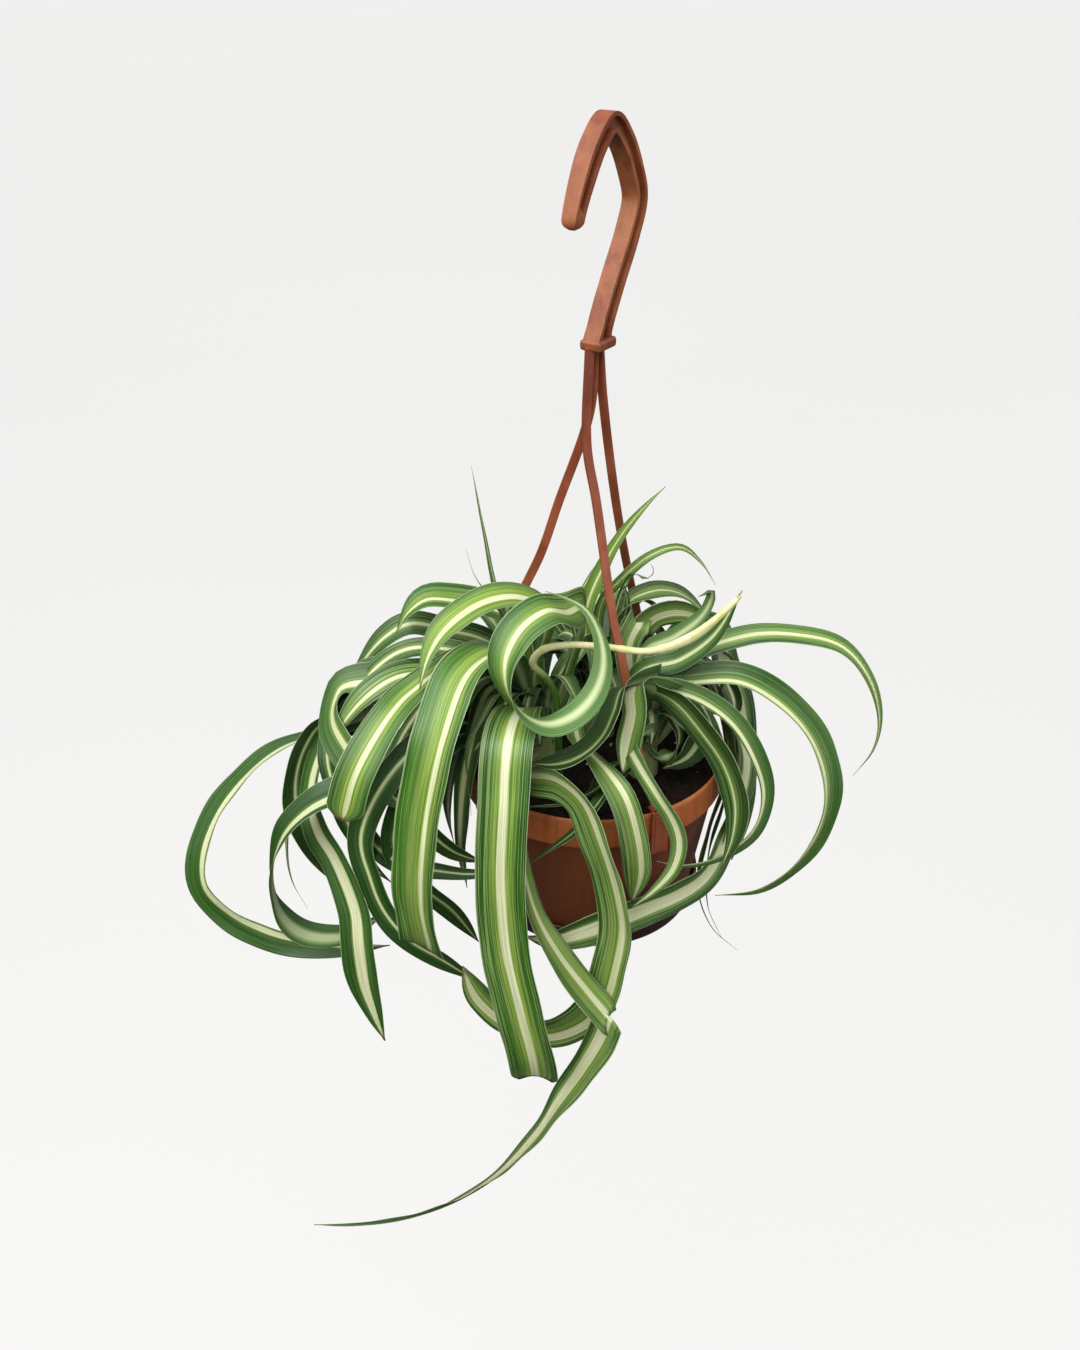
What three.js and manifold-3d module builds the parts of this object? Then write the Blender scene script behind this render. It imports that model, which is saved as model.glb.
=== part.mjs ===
// A spider plant in a plastic hanging pot: pot, drip saucer, hooked hanger, soil, three crowns
// of leaves and one flowering stem. Millimetres, +Z up. The origin is the seat of the hook,
// where it lies on its rail. The hook opens towards +X, and the rail runs along Y.
import * as THREE from 'three';
import { mergeVertices } from 'three/addons/utils/BufferGeometryUtils.js';
import Module from 'manifold-3d';

const wasm = await Module();
wasm.setup();

// Driving sizes of the pot and its saucer, heights measured from the plane of the rim
const RIM_RADIUS = 75;
const RIM_BAND = 18.5;
const RIM_OVERHANG = 4;
const RIM_CHAMFER = 1;
const RIM_DRAFT = 0.6;
const POT_HEIGHT = 100;
const POT_BASE_RADIUS = 57;
const POT_WALL = 2;
const FOOT_HEIGHT = 3;
const POT_FLOOR = FOOT_HEIGHT + POT_WALL - POT_HEIGHT;
const FOOT_WIDTH = 4;
const DRAIN_HOLES = 6;
const DRAIN_RADIUS = 4;
const DRAIN_CIRCLE = 34;
const SAUCER_RADIUS = 63;
const SAUCER_HEIGHT = 17;
const SAUCER_WALL = 2;
const SAUCER_LIP = 3;
const GAP = 0.3;
const FACETS = 36;
const HOLE_FACETS = 12;

// Driving sizes of the hanger
const HOOK_TOP = 322;
const HOOK_OFFSET = 7;
const HOOK_DEPTH = 9;
const HOOK_WIDTH = 9;
const HOOK_WEB = 3;
const HOOK_FLANGE = 2;
const HOOK_TIP = 0.62;
const HOOK_TIP_TAPER = 6;
const HOOK_STEPS = 22;
const COLLAR = { length: 15.5, width: 12, height: 5, bottom: 226, back: 1 };
const STRAP_WIDTH = 4.6;
const STRAP_THICK = 2;
const STRAP_STEPS = 11;
const STRAP_UNTWIST = [0.6, 0.95];
const CLIP = { inner: 70, width: 10, bridge: 8, length: 27, thick: 2, lug: 3 };

// Driving sizes of the soil and the plant
const SOIL_TOP = -12;
const SOIL_MOUND = 3;
const CROWN_RADIUS = 9;
const CROWN_DEPTH = 30;
const CROWN_TOP = 30;
const CROWN_TAPER = 2;
const ROOT_OUT = 6;
const ROOT_LOW = -4;
const ROOT_SHARE = 0.26;
const LEAF_THIN = 0.6;
const LEAF_THICK = 1.2;
const LEAF_THICKENING = 0.1;
const LEAF_CHANNEL = 0.1;
const LEAF_STEP = 36;
const LEAF_STEPS_LEAST = 5;
const BLADE_ROOT = 0.32;
const BLADE_TIP = 0.04;
const BLADE_OPEN = 0.3;
const BLADE_POINT = 1.6;
const FUSE_TOLERANCE = 0.08;
const RUNNER_RADIUS = 2;
const RUNNER_TAPER = 0.2;
const RUNNER_DEPTH = 12;
const RUNNER_SIDES = 6;
const RUNNER_STEPS = 15;

// The plant is drawn as seen from its front, x to the right and y away, and is turned as one
const PLANT_TURN = 122;

const CROWNS = {
  left: [-28, -8],
  right: [28, -12],
  back: [4, 26],
};
const RUNNER_FOOT = [-18, -34];

// Leaves by crown: [name, width, roll at the root, roll at the tip, share of the length where it
// begins to narrow, route, share over which it opens out]. One that narrows at 1 has a blunt end.
const LEAVES = {
  left: [
    ['front_left_broad', 26, 0, 0, 1, [[-48, -38, 80], [-65, -62, 82], [-76, -88, 60],
      [-85, -100, 20], [-90, -104, -30], [-88, -100, -63], [-89, -92, -73]]],
    ['front_left_short', 20, 45, -45, 0.95, [[-62, -28, 72], [-93, -50, 62], [-101, -64, 59],
      [-110, -76, 49], [-119, -86, 34], [-125, -90, 15], [-127, -90, 9]]],
    ['over_left', 22, 120, 195, 0.75, [[-31, -8, 57], [-26, -8, 76], [-28, -8, 89], [-37, -10, 96],
      [-47, -15, 99], [-58, -22, 99], [-68, -30, 96], [-77, -38, 90], [-83, -46, 82],
      [-86, -52, 74], [-88, -54, 66]], 0.8],
    ['top_left', 19, 15, 45, 0.75, [[-44, 18, 68], [-56, 18, 76], [-78, 12, 84], [-91, 8, 86],
      [-100, 2, 81], [-107, -2, 69]]],
    ['left_hump', 14, -20, -40, 0.7, [[-56, 16, 52], [-82, 16, 62], [-101, 14, 67],
      [-116, 12, 59], [-129, 10, 44], [-137, 8, 31]]],
    ['left_striped', 15, -10, -30, 0.7, [[-58, -14, 50], [-88, -22, 58], [-104, -30, 60],
      [-118, -38, 54], [-130, -42, 41], [-138, -42, 25]]],
    ['left_nested', 14, -10, -30, 0.7, [[-60, -12, 58], [-87, -12, 66], [-102, -14, 65],
      [-117, -16, 55], [-130, -18, 38], [-138, -20, 24]]],
    ['left_wrap', 19, -15, -60, 0.8, [[-74, -14, 42], [-134, -20, 48], [-139, -26, 42],
      [-139, -38, 35], [-132, -50, 28], [-121, -58, 17], [-107, -62, 5], [-94, -64, -4]]],
    ['left_loop_big', 16, 60, -105, 0.8, [[-72, 15, 26], [-146, 12, -3], [-162, 7, -4],
      [-180, 1, -8], [-199, -8, -20], [-217, -18, -40], [-227, -30, -63], [-226, -38, -83],
      [-211, -44, -98], [-189, -49, -108], [-166, -52, -112], [-143, -54, -112],
      [-115, -56, -106]]],
    ['left_loop_small', 20, -45, 30, 0.8, [[-82, -24, 24], [-126, -50, 5], [-135, -56, 3],
      [-150, -61, -3], [-163, -65, -15], [-171, -68, -33], [-173, -70, -51], [-170, -70, -70],
      [-159, -68, -85], [-143, -64, -91], [-130, -58, -90], [-117, -54, -84]]],
    ['left_hanging', 21, 15, -75, 0.82, [[-82, -18, 34], [-145, -14, 14], [-150, -22, 5],
      [-154, -32, -7], [-154, -42, -18], [-149, -52, -28], [-140, -61, -38], [-133, -69, -50],
      [-128, -76, -64], [-127, -82, -82], [-125, -86, -108], [-121, -88, -127],
      [-116, -90, -147]]],
    ['left_thin', 7, -40, -40, 0.5, [[-90, -10, 24], [-143, -6, 4], [-169, -5, -27],
      [-180, -8, -65], [-180, -10, -98], [-173, -10, -120]]],
    ['left_tucked', 15, -45, -45, 0.85, [[-72, -36, 34], [-100, -60, 25], [-122, -70, -15],
      [-118, -76, -40], [-111, -80, -60], [-98, -84, -76], [-82, -84, -89], [-62, -82, -108]]],
    ['left_sweep', 13, -20, -60, 0.6, [[-80, -12, 16], [-119, -30, -5], [-124, -48, -28],
      [-106, -66, -35], [-79, -82, -29], [-57, -88, -25], [-37, -88, -17]]],
    ['front_slim', 8, 0, 60, 0.6, [[-49, -46, 59], [-57, -60, 51], [-63, -70, 39],
      [-62, -78, 5]]],
    ['front_broad', 26, 0, 0, 1, [[-36, -48, 52], [-41, -84, 56], [-43, -98, 30],
      [-45, -108, -12], [-43, -114, -54], [-36, -118, -96], [-30, -118, -131], [-29, -112, -150]]],
    ['ring', 20, -180, 150, 0.5, [[-6, -20, 96], [-14, -38, 103], [-24, -50, 110],
      [-36, -60, 105], [-43, -70, 93], [-41, -78, 80], [-33, -82, 70], [-22, -82, 65],
      [-9, -78, 68], [1, -70, 76], [5, -62, 87], [3, -54, 99], [-4, -48, 110], [-13, -44, 114],
      [-24, -40, 116]]],
    ['front_arch', 20, 100, 80, 0.92, [[-36, -56, 18], [-32, -72, 24], [-18, -82, 29],
      [-6, -90, 23], [3, -96, 2], [10, -98, -23], [14, -98, -50], [11, -96, -80], [5, -93, -109],
      [-7, -90, -129], [-24, -88, -139], [-43, -86, -134], [-59, -85, -117], [-70, -84, -94]]],
    ['front_kinked', 26, -90, -75, 1, [[-44, -72, 22], [-37, -90, -4], [-34, -96, -25],
      [-28, -101, -46], [-17, -105, -68], [-2, -108, -91], [11, -110, -109]], 1],
    ['needle_tall', 5, 180, 180, 0.2, [[-51, 10, 83], [-56, 12, 107], [-60, 14, 133],
      [-64, 14, 160]]],
    ['needle_bent', 5, 180, 180, 0.2, [[-47, -8, 82], [-54, -8, 95], [-62, -10, 109],
      [-66, -10, 124]]],
    ['whisker', 3, 0, 0, 0.2, [[-36, 8, 66], [-49, 6, 79], [-56, 6, 100]]],
    ['left_tucked_upper', 15, -45, -45, 0.85, [[-66, -34, 28], [-84, -52, 24], [-106, -62, -23],
      [-101, -66, -40], [-91, -68, -53], [-76, -70, -66], [-62, -70, -89]]],
    ['left_inner', 14, 30, -60, 0.8, [[-60, -24, 22], [-82, -44, 18], [-96, -56, -2],
      [-87, -60, -19], [-75, -64, -29], [-58, -68, -34]]],
    ['left_edge', 14, -15, -30, 0.8, [[-68, -20, 44], [-121, -4, 49], [-133, -10, 45],
      [-142, -18, 35], [-144, -26, 24], [-140, -32, 12]]],
    ['left_side', 15, -30, -30, 0.8, [[-76, -12, 34], [-132, -18, 37], [-140, -30, 28],
      [-141, -42, 16], [-137, -50, -1], [-130, -56, -20], [-120, -60, -42], [-109, -62, -55]]],
    ['left_behind', 17, -165, -105, 0.8, [[-75, -11, 31], [-151, -8, 16], [-161, -16, 6],
      [-167, -24, -10], [-167, -32, -25], [-160, -40, -42], [-150, -46, -57], [-140, -50, -69]]],
    ['front_fan', 15, -75, 75, 0.85, [[-8, -28, 46], [-11, -46, 41], [-8, -56, 35],
      [-1, -63, 32], [7, -73, 28], [15, -81, 19], [21, -84, -1], [24, -84, -24],
      [22, -82, -48]]],
  ],
  right: [
    ['right_long', 12, 40, 40, 0.4, [[46, 0, 50], [82, 7, 65], [112, 7, 66], [135, 5, 60],
      [151, 1, 42], [158, -4, 19], [156, -8, 2], [146, -12, -13]]],
    ['right_hoop', 13, 45, 50, 0.6, [[38, -15, 50], [52, -15, 53], [78, -18, 56],
      [102, -22, 44], [121, -28, 23], [130, -34, -4], [127, -40, -30], [113, -46, -52],
      [94, -50, -65], [69, -54, -66]]],
    ['right_hoop_thin', 9, 40, 50, 0.5, [[31, -30, 55], [50, -35, 56], [72, -40, 44],
      [86, -46, 25], [93, -52, 2], [87, -60, -17], [69, -70, -26], [49, -79, -25],
      [34, -84, -18]]],
    ['right_dark', 18, 0, 0, 0.75, [[36, -30, 56], [28, -42, 63], [43, -48, 58], [58, -54, 42],
      [70, -60, 25], [76, -66, 6], [75, -70, -13], [69, -74, -30]]],
    ['right_under', 19, 30, 75, 0.85, [[64, 7, 29], [86, -6, -3], [73, -36, -45], [63, -50, -56],
      [47, -62, -60], [31, -72, -60], [12, -78, -65], [-7, -81, -72], [-22, -82, -76],
      [-36, -80, -75]]],
    ['right_curtain', 20, 45, 60, 0.8, [[50, 21, 56], [66, 21, 61], [74, 16, 39], [81, 8, 23],
      [85, 2, -3], [85, -4, -30], [85, -10, -54], [82, -14, -73]]],
    ['right_curtain_inner', 16, 30, 30, 0.7, [[57, 36, 36], [70, 30, 13], [78, 22, -20],
      [76, 16, -52]]],
    ['right_front', 16, 15, -30, 0.85, [[36, -28, 52], [38, -42, 60], [22, -52, 68],
      [22, -58, 55], [19, -62, 40], [16, -66, 24]]],
    ['front_cross', 14, 20, 60, 0.6, [[8, -58, 20], [3, -70, 17], [-12, -79, 14],
      [-33, -82, 14]]],
    ['front_cross_dark', 8, 0, 60, 0.6, [[10, -62, 14], [3, -80, 15], [-8, -84, 1],
      [-21, -85, -11], [-34, -83, -24]]],
    ['right_rim', 11, 40, 70, 0.6, [[30, -44, 36], [20, -62, 38], [25, -72, 32], [33, -83, 24],
      [42, -88, 10], [45, -90, -2], [42, -91, -18], [32, -91, -33], [21, -90, -45]]],
    ['right_tips', 9, 40, 20, 0.5, [[60, 18, 24], [74, 24, 10], [79, 16, -27], [69, 4, -65],
      [64, -4, -101], [74, -10, -129], [90, -13, -144]]],
    ['right_tips_thin', 6, 20, 20, 0.5, [[56, 8, 16], [78, 14, 5], [78, 8, -39], [70, 0, -77],
      [71, -4, -116], [81, -6, -141]]],
    ['right_coil', 10, -15, -90, 0.7, [[40, -8, 26], [40, -24, 35], [46, -30, 27], [44, -34, 16],
      [35, -34, 12], [30, -30, 17], [32, -26, 22], [38, -24, 23]]],
    ['dark_hollow', 19, 75, 30, 0.85, [[32, -30, 57], [28, -45, 67], [14, -53, 67], [10, -61, 59],
      [4, -69, 49], [-6, -75, 42], [-18, -77, 38], [-31, -76, 37]]],
    ['right_saddle', 18, 30, -30, 0.75, [[18, 2, 62], [24, 10, 72], [23, 14, 63], [33, 15, 73],
      [45, 16, 76], [57, 17, 72], [65, 18, 61]]],
    ['right_folded', 13, 20, 60, 0.6, [[25, -5, 61], [43, -6, 73], [57, -6, 86],
      [61, -7, 99], [54, -14, 100]]],
    ['right_rising', 12, 40, 40, 0.6, [[25, -14, 53], [46, -18, 64], [63, -18, 79],
      [76, -16, 105]]],
    ['right_dark_broad', 17, 15, 30, 0.8, [[40, 2, 40], [56, -2, 38], [59, -20, 31],
      [58, -26, 22], [51, -32, 12], [38, -36, 7]]],
  ],
  back: [
    ['upright_broad', 10, 180, 180, 0.4, [[-4, 14, 75], [4, 14, 101], [14, 13, 122],
      [26, 12, 139], [36, 10, 151]]],
    ['upright_slim', 6, 180, 180, 0.4, [[-10, 16, 74], [-3, 18, 93], [9, 20, 113]]],
    ['upright_arc', 6, 180, 180, 0.5, [[4, 18, 78], [15, 16, 95], [30, 18, 108],
      [46, 24, 110], [58, 28, 99], [67, 30, 84]]],
    ['upright_hooked', 4, 180, 180, 0.8, [[13, 16, 82], [21, 16, 98], [28, 16, 95],
      [32, 16, 99], [30, 16, 104]]],
    ['upright_blade', 8, 180, 180, 0.5, [[13, 14, 59], [18, 15, 81], [14, 16, 96]]],
    ['back_right_arch', 13, 30, 30, 0.7, [[17, 18, 77], [31, 26, 82], [47, 38, 75],
      [62, 46, 59], [71, 48, 38]]],
  ],
};

// The folded end of the longest front leaf, which doubles back below its kink
const KINKED_END = ['front_kinked_end', 23, -30, 90, 0.4, [[12, -110, -105], [8, -112, -119],
  [-2, -113, -142], [-16, -114, -169], [-30, -116, -196], [-52, -117, -227], [-80, -117, -253],
  [-112, -116, -271], [-143, -114, -280], [-166, -112, -283]], 0];

const RUNNER_ROUTE = [[...RUNNER_FOOT, SOIL_TOP - RUNNER_DEPTH], [...RUNNER_FOOT, SOIL_TOP + 6],
  [-19, -36, 48], [-23, -40, 64], [-31, -44, 77], [-26, -45, 85], [-14, -43, 87], [3, -42, 86],
  [29, -41, 83], [49, -38, 89], [64, -35, 101], [72, -34, 110]];

const turn = THREE.MathUtils.degToRad;
const vector = ([x, y, z]) => new THREE.Vector3(x, y, z);

// Closed solids for joining and cutting
function solid(geometry) {
  const bare = geometry.index ? geometry.toNonIndexed() : geometry.clone();
  for (const name of Object.keys(bare.attributes)) {
    if (name !== 'position') bare.deleteAttribute(name);
  }
  const merged = mergeVertices(bare, 1e-4);
  return new wasm.Manifold(new wasm.Mesh({
    numProp: 3,
    vertProperties: new Float32Array(merged.attributes.position.array),
    triVerts: new Uint32Array(merged.index.array),
  }));
}

function geometryOf(body) {
  const mesh = body.getMesh();
  const geometry = new THREE.BufferGeometry();
  geometry.setAttribute('position', new THREE.BufferAttribute(mesh.vertProperties, 3));
  geometry.setIndex(new THREE.BufferAttribute(mesh.triVerts, 1));
  return geometry;
}

// Joined parts are one body: what the joining closes off inside, or leaves loose, is dropped
function join(parts) {
  const whole = parts.reduce((joined, part) => joined.add(part));
  const bodies = whole.simplify(FUSE_TOLERANCE).decompose();
  return bodies.reduce((best, body) => (body.volume() > best.volume() ? body : best));
}

// A profile of [radius, height] pairs spun round the Z axis
function spun(profile, facets) {
  const points = profile.map(([radius, height]) => new THREE.Vector2(radius, height));
  return new THREE.LatheGeometry(points, facets).rotateX(Math.PI / 2);
}

// A closed upright cylinder about its middle
function rod(radius, length) {
  return new THREE.CylinderGeometry(radius, radius, length, HOLE_FACETS).rotateX(Math.PI / 2);
}

function drilled(geometry, holes) {
  return geometryOf(holes.reduce((body, hole) => body.subtract(solid(hole)), solid(geometry)));
}

// A strip of equal rings, each a list of corners, closed at both ends
function skinned(rings) {
  const count = rings[0].length;
  const positions = rings.flat().flatMap((p) => [p.x, p.y, p.z]);
  const index = [];
  for (let ring = 0; ring < rings.length - 1; ring += 1) {
    for (let k = 0; k < count; k += 1) {
      const a = ring * count + k;
      const b = ring * count + (k + 1) % count;
      index.push(a, b, b + count, a, b + count, a + count);
    }
  }
  const last = (rings.length - 1) * count;
  for (const [a, b, c] of THREE.ShapeUtils.triangulateShape(flatRing(rings[0]), [])) {
    index.push(a, c, b, last + a, last + b, last + c);
  }
  const geometry = new THREE.BufferGeometry();
  geometry.setAttribute('position', new THREE.Float32BufferAttribute(positions, 3));
  geometry.setIndex(index);
  return geometry;
}

// A ring's corners in its own plane, turning anticlockwise seen against the strip's direction
function flatRing(ring) {
  const across = ring[1].clone().sub(ring[0]).normalize();
  const spread = ring.at(-1).clone().sub(ring[0]);
  const up = spread.sub(across.clone().multiplyScalar(spread.dot(across))).normalize();
  return ring.map((p) => {
    const offset = p.clone().sub(ring[0]);
    return new THREE.Vector2(offset.dot(across), offset.dot(up));
  });
}

// Outer radius of the pot's tapered body at a height below the rim band
function potRadius(height) {
  const share = (height + POT_HEIGHT) / (POT_HEIGHT - RIM_BAND);
  return THREE.MathUtils.lerp(POT_BASE_RADIUS, RIM_RADIUS - RIM_OVERHANG, share);
}

function insideRadius(height) {
  return potRadius(height) - POT_WALL;
}

// Inner radius of the rim band at its lower end
const RIM_INSIDE = RIM_RADIUS - POT_WALL - RIM_DRAFT;

function potGeometry() {
  const base = -POT_HEIGHT;
  const under = -RIM_BAND;
  const bodyTop = RIM_RADIUS - RIM_OVERHANG;
  const profile = [
    [0, base + FOOT_HEIGHT], [POT_BASE_RADIUS - FOOT_WIDTH, base + FOOT_HEIGHT],
    [POT_BASE_RADIUS - FOOT_WIDTH + 1, base], [POT_BASE_RADIUS, base], [bodyTop, under],
    [RIM_RADIUS - RIM_DRAFT, under], [RIM_RADIUS, -RIM_CHAMFER], [RIM_RADIUS - RIM_CHAMFER, 0],
    [RIM_RADIUS - POT_WALL, 0], [RIM_INSIDE, under + POT_WALL], [insideRadius(under), under],
    [insideRadius(POT_FLOOR), POT_FLOOR + POT_WALL],
    [insideRadius(POT_FLOOR) - POT_WALL, POT_FLOOR], [0, POT_FLOOR],
  ];
  const holes = Array.from({ length: DRAIN_HOLES }, (_, i) => {
    const angle = turn(360 * (i + 0.5) / DRAIN_HOLES);
    const [x, y] = [DRAIN_CIRCLE * Math.cos(angle), DRAIN_CIRCLE * Math.sin(angle)];
    return rod(DRAIN_RADIUS, 4 * POT_WALL).translate(x, y, POT_FLOOR);
  });
  return drilled(spun(profile, FACETS), holes);
}

function saucerGeometry() {
  const floor = -POT_HEIGHT - GAP;
  const bottom = floor - SAUCER_WALL;
  const top = bottom + SAUCER_HEIGHT;
  const inside = potRadius(top) + GAP;
  return spun([
    [0, bottom], [POT_BASE_RADIUS - 3, bottom], [POT_BASE_RADIUS + 2, bottom + 1.5],
    [SAUCER_RADIUS - 1.5, top - SAUCER_LIP - 1], [SAUCER_RADIUS, top - SAUCER_LIP],
    [SAUCER_RADIUS, top], [inside, top], [potRadius(top - SAUCER_LIP) + GAP, top - SAUCER_LIP],
    [POT_BASE_RADIUS + 2, top - SAUCER_LIP - 2], [POT_BASE_RADIUS + 2 * GAP, floor], [0, floor],
  ], FACETS);
}

function soilGeometry() {
  const floor = POT_FLOOR + GAP;
  const wall = (height) => insideRadius(height) - 2 * GAP;
  const shelf = -RIM_BAND + POT_WALL;
  const rimWall = RIM_INSIDE - 2 * GAP;
  const body = spun([
    [0, floor], [wall(floor) - 3, floor], [wall(floor + 3), floor + 3],
    [wall(-RIM_BAND - 1), -RIM_BAND - 1], [rimWall - 1, shelf + 1], [rimWall, SOIL_TOP - 2],
    [rimWall - 5, SOIL_TOP - 1], [44, SOIL_TOP + SOIL_MOUND], [20, SOIL_TOP + 2],
    [0, SOIL_TOP + SOIL_MOUND],
  ], FACETS);
  const hole = ([x, y], radius, depth) => rod(radius + GAP, 2 * (depth + GAP)).translate(x, y, SOIL_TOP);
  const holes = Object.values(CROWNS).map((at) => hole(at, CROWN_RADIUS, CROWN_DEPTH));
  return drilled(body, [...holes, hole(RUNNER_FOOT, RUNNER_RADIUS, RUNNER_DEPTH)]);
}

// The hook's centre line in its own plane: x towards the mouth, y up from the rim plane
function hookCurve() {
  return new THREE.CatmullRomCurve3([
    [0, 230], [-3, 238], [-14, 256], [-26, 275], [-32, 290], [-27, 304], [-18, 318],
    [-7, HOOK_TOP + HOOK_DEPTH / 2], [5, 318], [15, 303], [21, 290], [22, 285],
  ].map(([x, z]) => new THREE.Vector3(x, 0, z)), false, 'centripetal');
}

// The hook is an I in section: two flanges with a thin web between them
function hookSolid() {
  const curve = hookCurve();
  const half = HOOK_DEPTH / 2;
  const inner = half - HOOK_FLANGE;
  const wide = HOOK_WIDTH / 2;
  const web = HOOK_WEB / 2;
  const section = [[-half, -wide], [-inner, -wide], [-inner, -web], [inner, -web],
    [inner, -wide], [half, -wide], [half, wide], [inner, wide], [inner, web],
    [-inner, web], [-inner, wide], [-half, wide]];
  const rings = [];
  for (let i = 0; i <= HOOK_STEPS; i += 1) {
    const share = i / HOOK_STEPS;
    const centre = curve.getPointAt(share);
    const forward = curve.getTangentAt(share);
    const out = new THREE.Vector3(forward.z, 0, -forward.x);
    const taper = Math.min(1, HOOK_TIP + (1 - share) * HOOK_TIP_TAPER);
    rings.push(section.map(([u, v]) => centre.clone()
      .addScaledVector(out, u * taper).add(new THREE.Vector3(0, v * taper, 0))));
  }
  return solid(skinned(rings));
}

// Each strap's route down to the rim, as [distance along its own direction, sideways, height], and
// how far its flat is turned at the top, in degrees
const STRAPS = [
  { angle: -62, twist: 0, route: [[2, -5, 228], [0, -5, 178], [5, -2, 149], [22, 0, 88], [33, 0, 68],
    [53, 0, 22], [66, 0, 6], [71.5, 0, 1.4]] },
  { angle: 58, twist: 0, route: [[2, 0, 228], [6, 0, 200], [23, 0, 130], [46, 0, 63], [60, 0, 32],
    [68.5, 0, 10], [71.5, 0, 1.4]] },
  { angle: 178, twist: 90, route: [[1, 0, 228], [3, 0, 195], [19, 0, 145], [28, 0, 117], [40, 0, 90],
    [58, 0, 45], [68.5, 0, 12], [71.5, 0, 1.4]] },
];

function strapSolid({ angle, twist, route }) {
  const level = new THREE.Vector3(0, 1, 0);
  const curve = new THREE.CatmullRomCurve3(route.map(vector), false, 'centripetal');
  const rings = [];
  for (let i = 0; i <= STRAP_STEPS; i += 1) {
    const centre = curve.getPointAt(i / STRAP_STEPS);
    const forward = curve.getTangentAt(i / STRAP_STEPS);
    const turned = twist * (1 - THREE.MathUtils.smoothstep(i / STRAP_STEPS, ...STRAP_UNTWIST));
    const side = level.clone().applyAxisAngle(forward, turn(turned));
    const out = forward.clone().cross(side).normalize();
    rings.push([[-1, -1], [1, -1], [1, 1], [-1, 1]].map(([u, v]) => centre.clone()
      .addScaledVector(side, u * STRAP_WIDTH / 2).addScaledVector(out, v * STRAP_THICK / 2)));
  }
  const inside = RIM_RADIUS + GAP;
  const outside = inside + CLIP.thick;
  const top = GAP + CLIP.thick;
  const bridge = new THREE.BoxGeometry(outside - CLIP.inner, CLIP.bridge, CLIP.thick)
    .translate((CLIP.inner + outside) / 2, 0, top - CLIP.thick / 2);
  const plate = new THREE.BoxGeometry(CLIP.thick, CLIP.width, CLIP.length)
    .translate(inside + CLIP.thick / 2, 0, top - CLIP.length / 2);
  const lug = new THREE.BoxGeometry(CLIP.lug + CLIP.thick, CLIP.width, CLIP.thick)
    .translate(outside - (CLIP.lug + CLIP.thick) / 2, 0, -RIM_BAND - GAP - CLIP.thick / 2);
  return join([skinned(rings), bridge, plate, lug].map((part) => solid(part.rotateZ(turn(angle)))));
}

function hangerGeometry() {
  const { length, width, height, bottom, back } = COLLAR;
  const collar = new THREE.BoxGeometry(length, width, height).translate(-back, 0, bottom + height / 2);
  const head = join([hookSolid(), solid(collar)]);
  const straps = STRAPS.map(strapSolid);
  return geometryOf(join([head.rotate([0, 0, -PLANT_TURN]), ...straps]));
}

// Width of a blade along its length: narrow at the root, full up to hold, pointed at the tip
function bladeShare(share, hold, open) {
  const opening = open > 0 ? THREE.MathUtils.smoothstep(share, 0, open) : 1;
  const closing = hold < 1 ? Math.max(0, (share - hold) / (1 - hold)) : 0;
  const full = THREE.MathUtils.lerp(BLADE_ROOT, 1, opening);
  return Math.max(BLADE_TIP, full * (1 - closing ** BLADE_POINT));
}

// A blade is a thin channelled strip whose rings are left edge, top rib, right edge, under rib
function bladeSolid([, width, rollRoot, rollTip, hold, route, open = BLADE_OPEN]) {
  const curve = new THREE.CatmullRomCurve3(route.map(vector), false, 'centripetal');
  const steps = Math.max(LEAF_STEPS_LEAST, Math.ceil(curve.getLength() / LEAF_STEP));
  const points = curve.getSpacedPoints(steps);
  const heading = points[Math.ceil(steps / 3)].clone().sub(points[0]);
  const side = new THREE.Vector3(-heading.y, heading.x, 0).normalize();
  const corners = [];
  for (let i = 0; i <= steps; i += 1) {
    const forward = curve.getTangentAt(i / steps);
    side.addScaledVector(forward, -side.dot(forward)).normalize();
    const roll = turn(THREE.MathUtils.lerp(rollRoot, rollTip, i / steps));
    const across = side.clone().applyAxisAngle(forward, roll);
    const normal = forward.clone().cross(across);
    const wide = width * bladeShare(i / steps, hold, open);
    const thick = Math.min(LEAF_THICK, LEAF_THIN + wide * LEAF_THICKENING);
    const lift = wide * LEAF_CHANNEL;
    const at = (u, v) => points[i].clone().addScaledVector(across, u).addScaledVector(normal, v);
    corners.push(at(wide / 2, lift), at(0, thick / 2), at(-wide / 2, lift), at(0, -thick / 2));
  }
  const ring = 4;
  const index = [0, 2, 1, 0, 3, 2];
  for (let left = 0; left < steps * ring; left += ring) {
    const [top, right, under] = [left + 1, left + 2, left + 3];
    index.push(top, top + ring, left + ring, top, left + ring, left);
    index.push(top, right + ring, top + ring, top, right, right + ring);
    index.push(under, left + ring, under + ring, under, left, left + ring);
    index.push(under, under + ring, right + ring, under, right + ring, right);
  }
  const end = steps * ring;
  index.push(end, end + 1, end + 2, end, end + 2, end + 3);
  const geometry = new THREE.BufferGeometry();
  geometry.setAttribute('position',
    new THREE.Float32BufferAttribute(corners.flatMap((p) => [p.x, p.y, p.z]), 3));
  geometry.setIndex(index);
  return solid(geometry);
}

// Repeatable draws between two values, by the Park-Miller generator
function draws(seed) {
  const multiplier = 48271;
  const modulus = 2147483647;
  let state = seed;
  return (low, high) => {
    state = (state * multiplier) % modulus;
    return low + (high - low) * state / modulus;
  };
}

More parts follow.
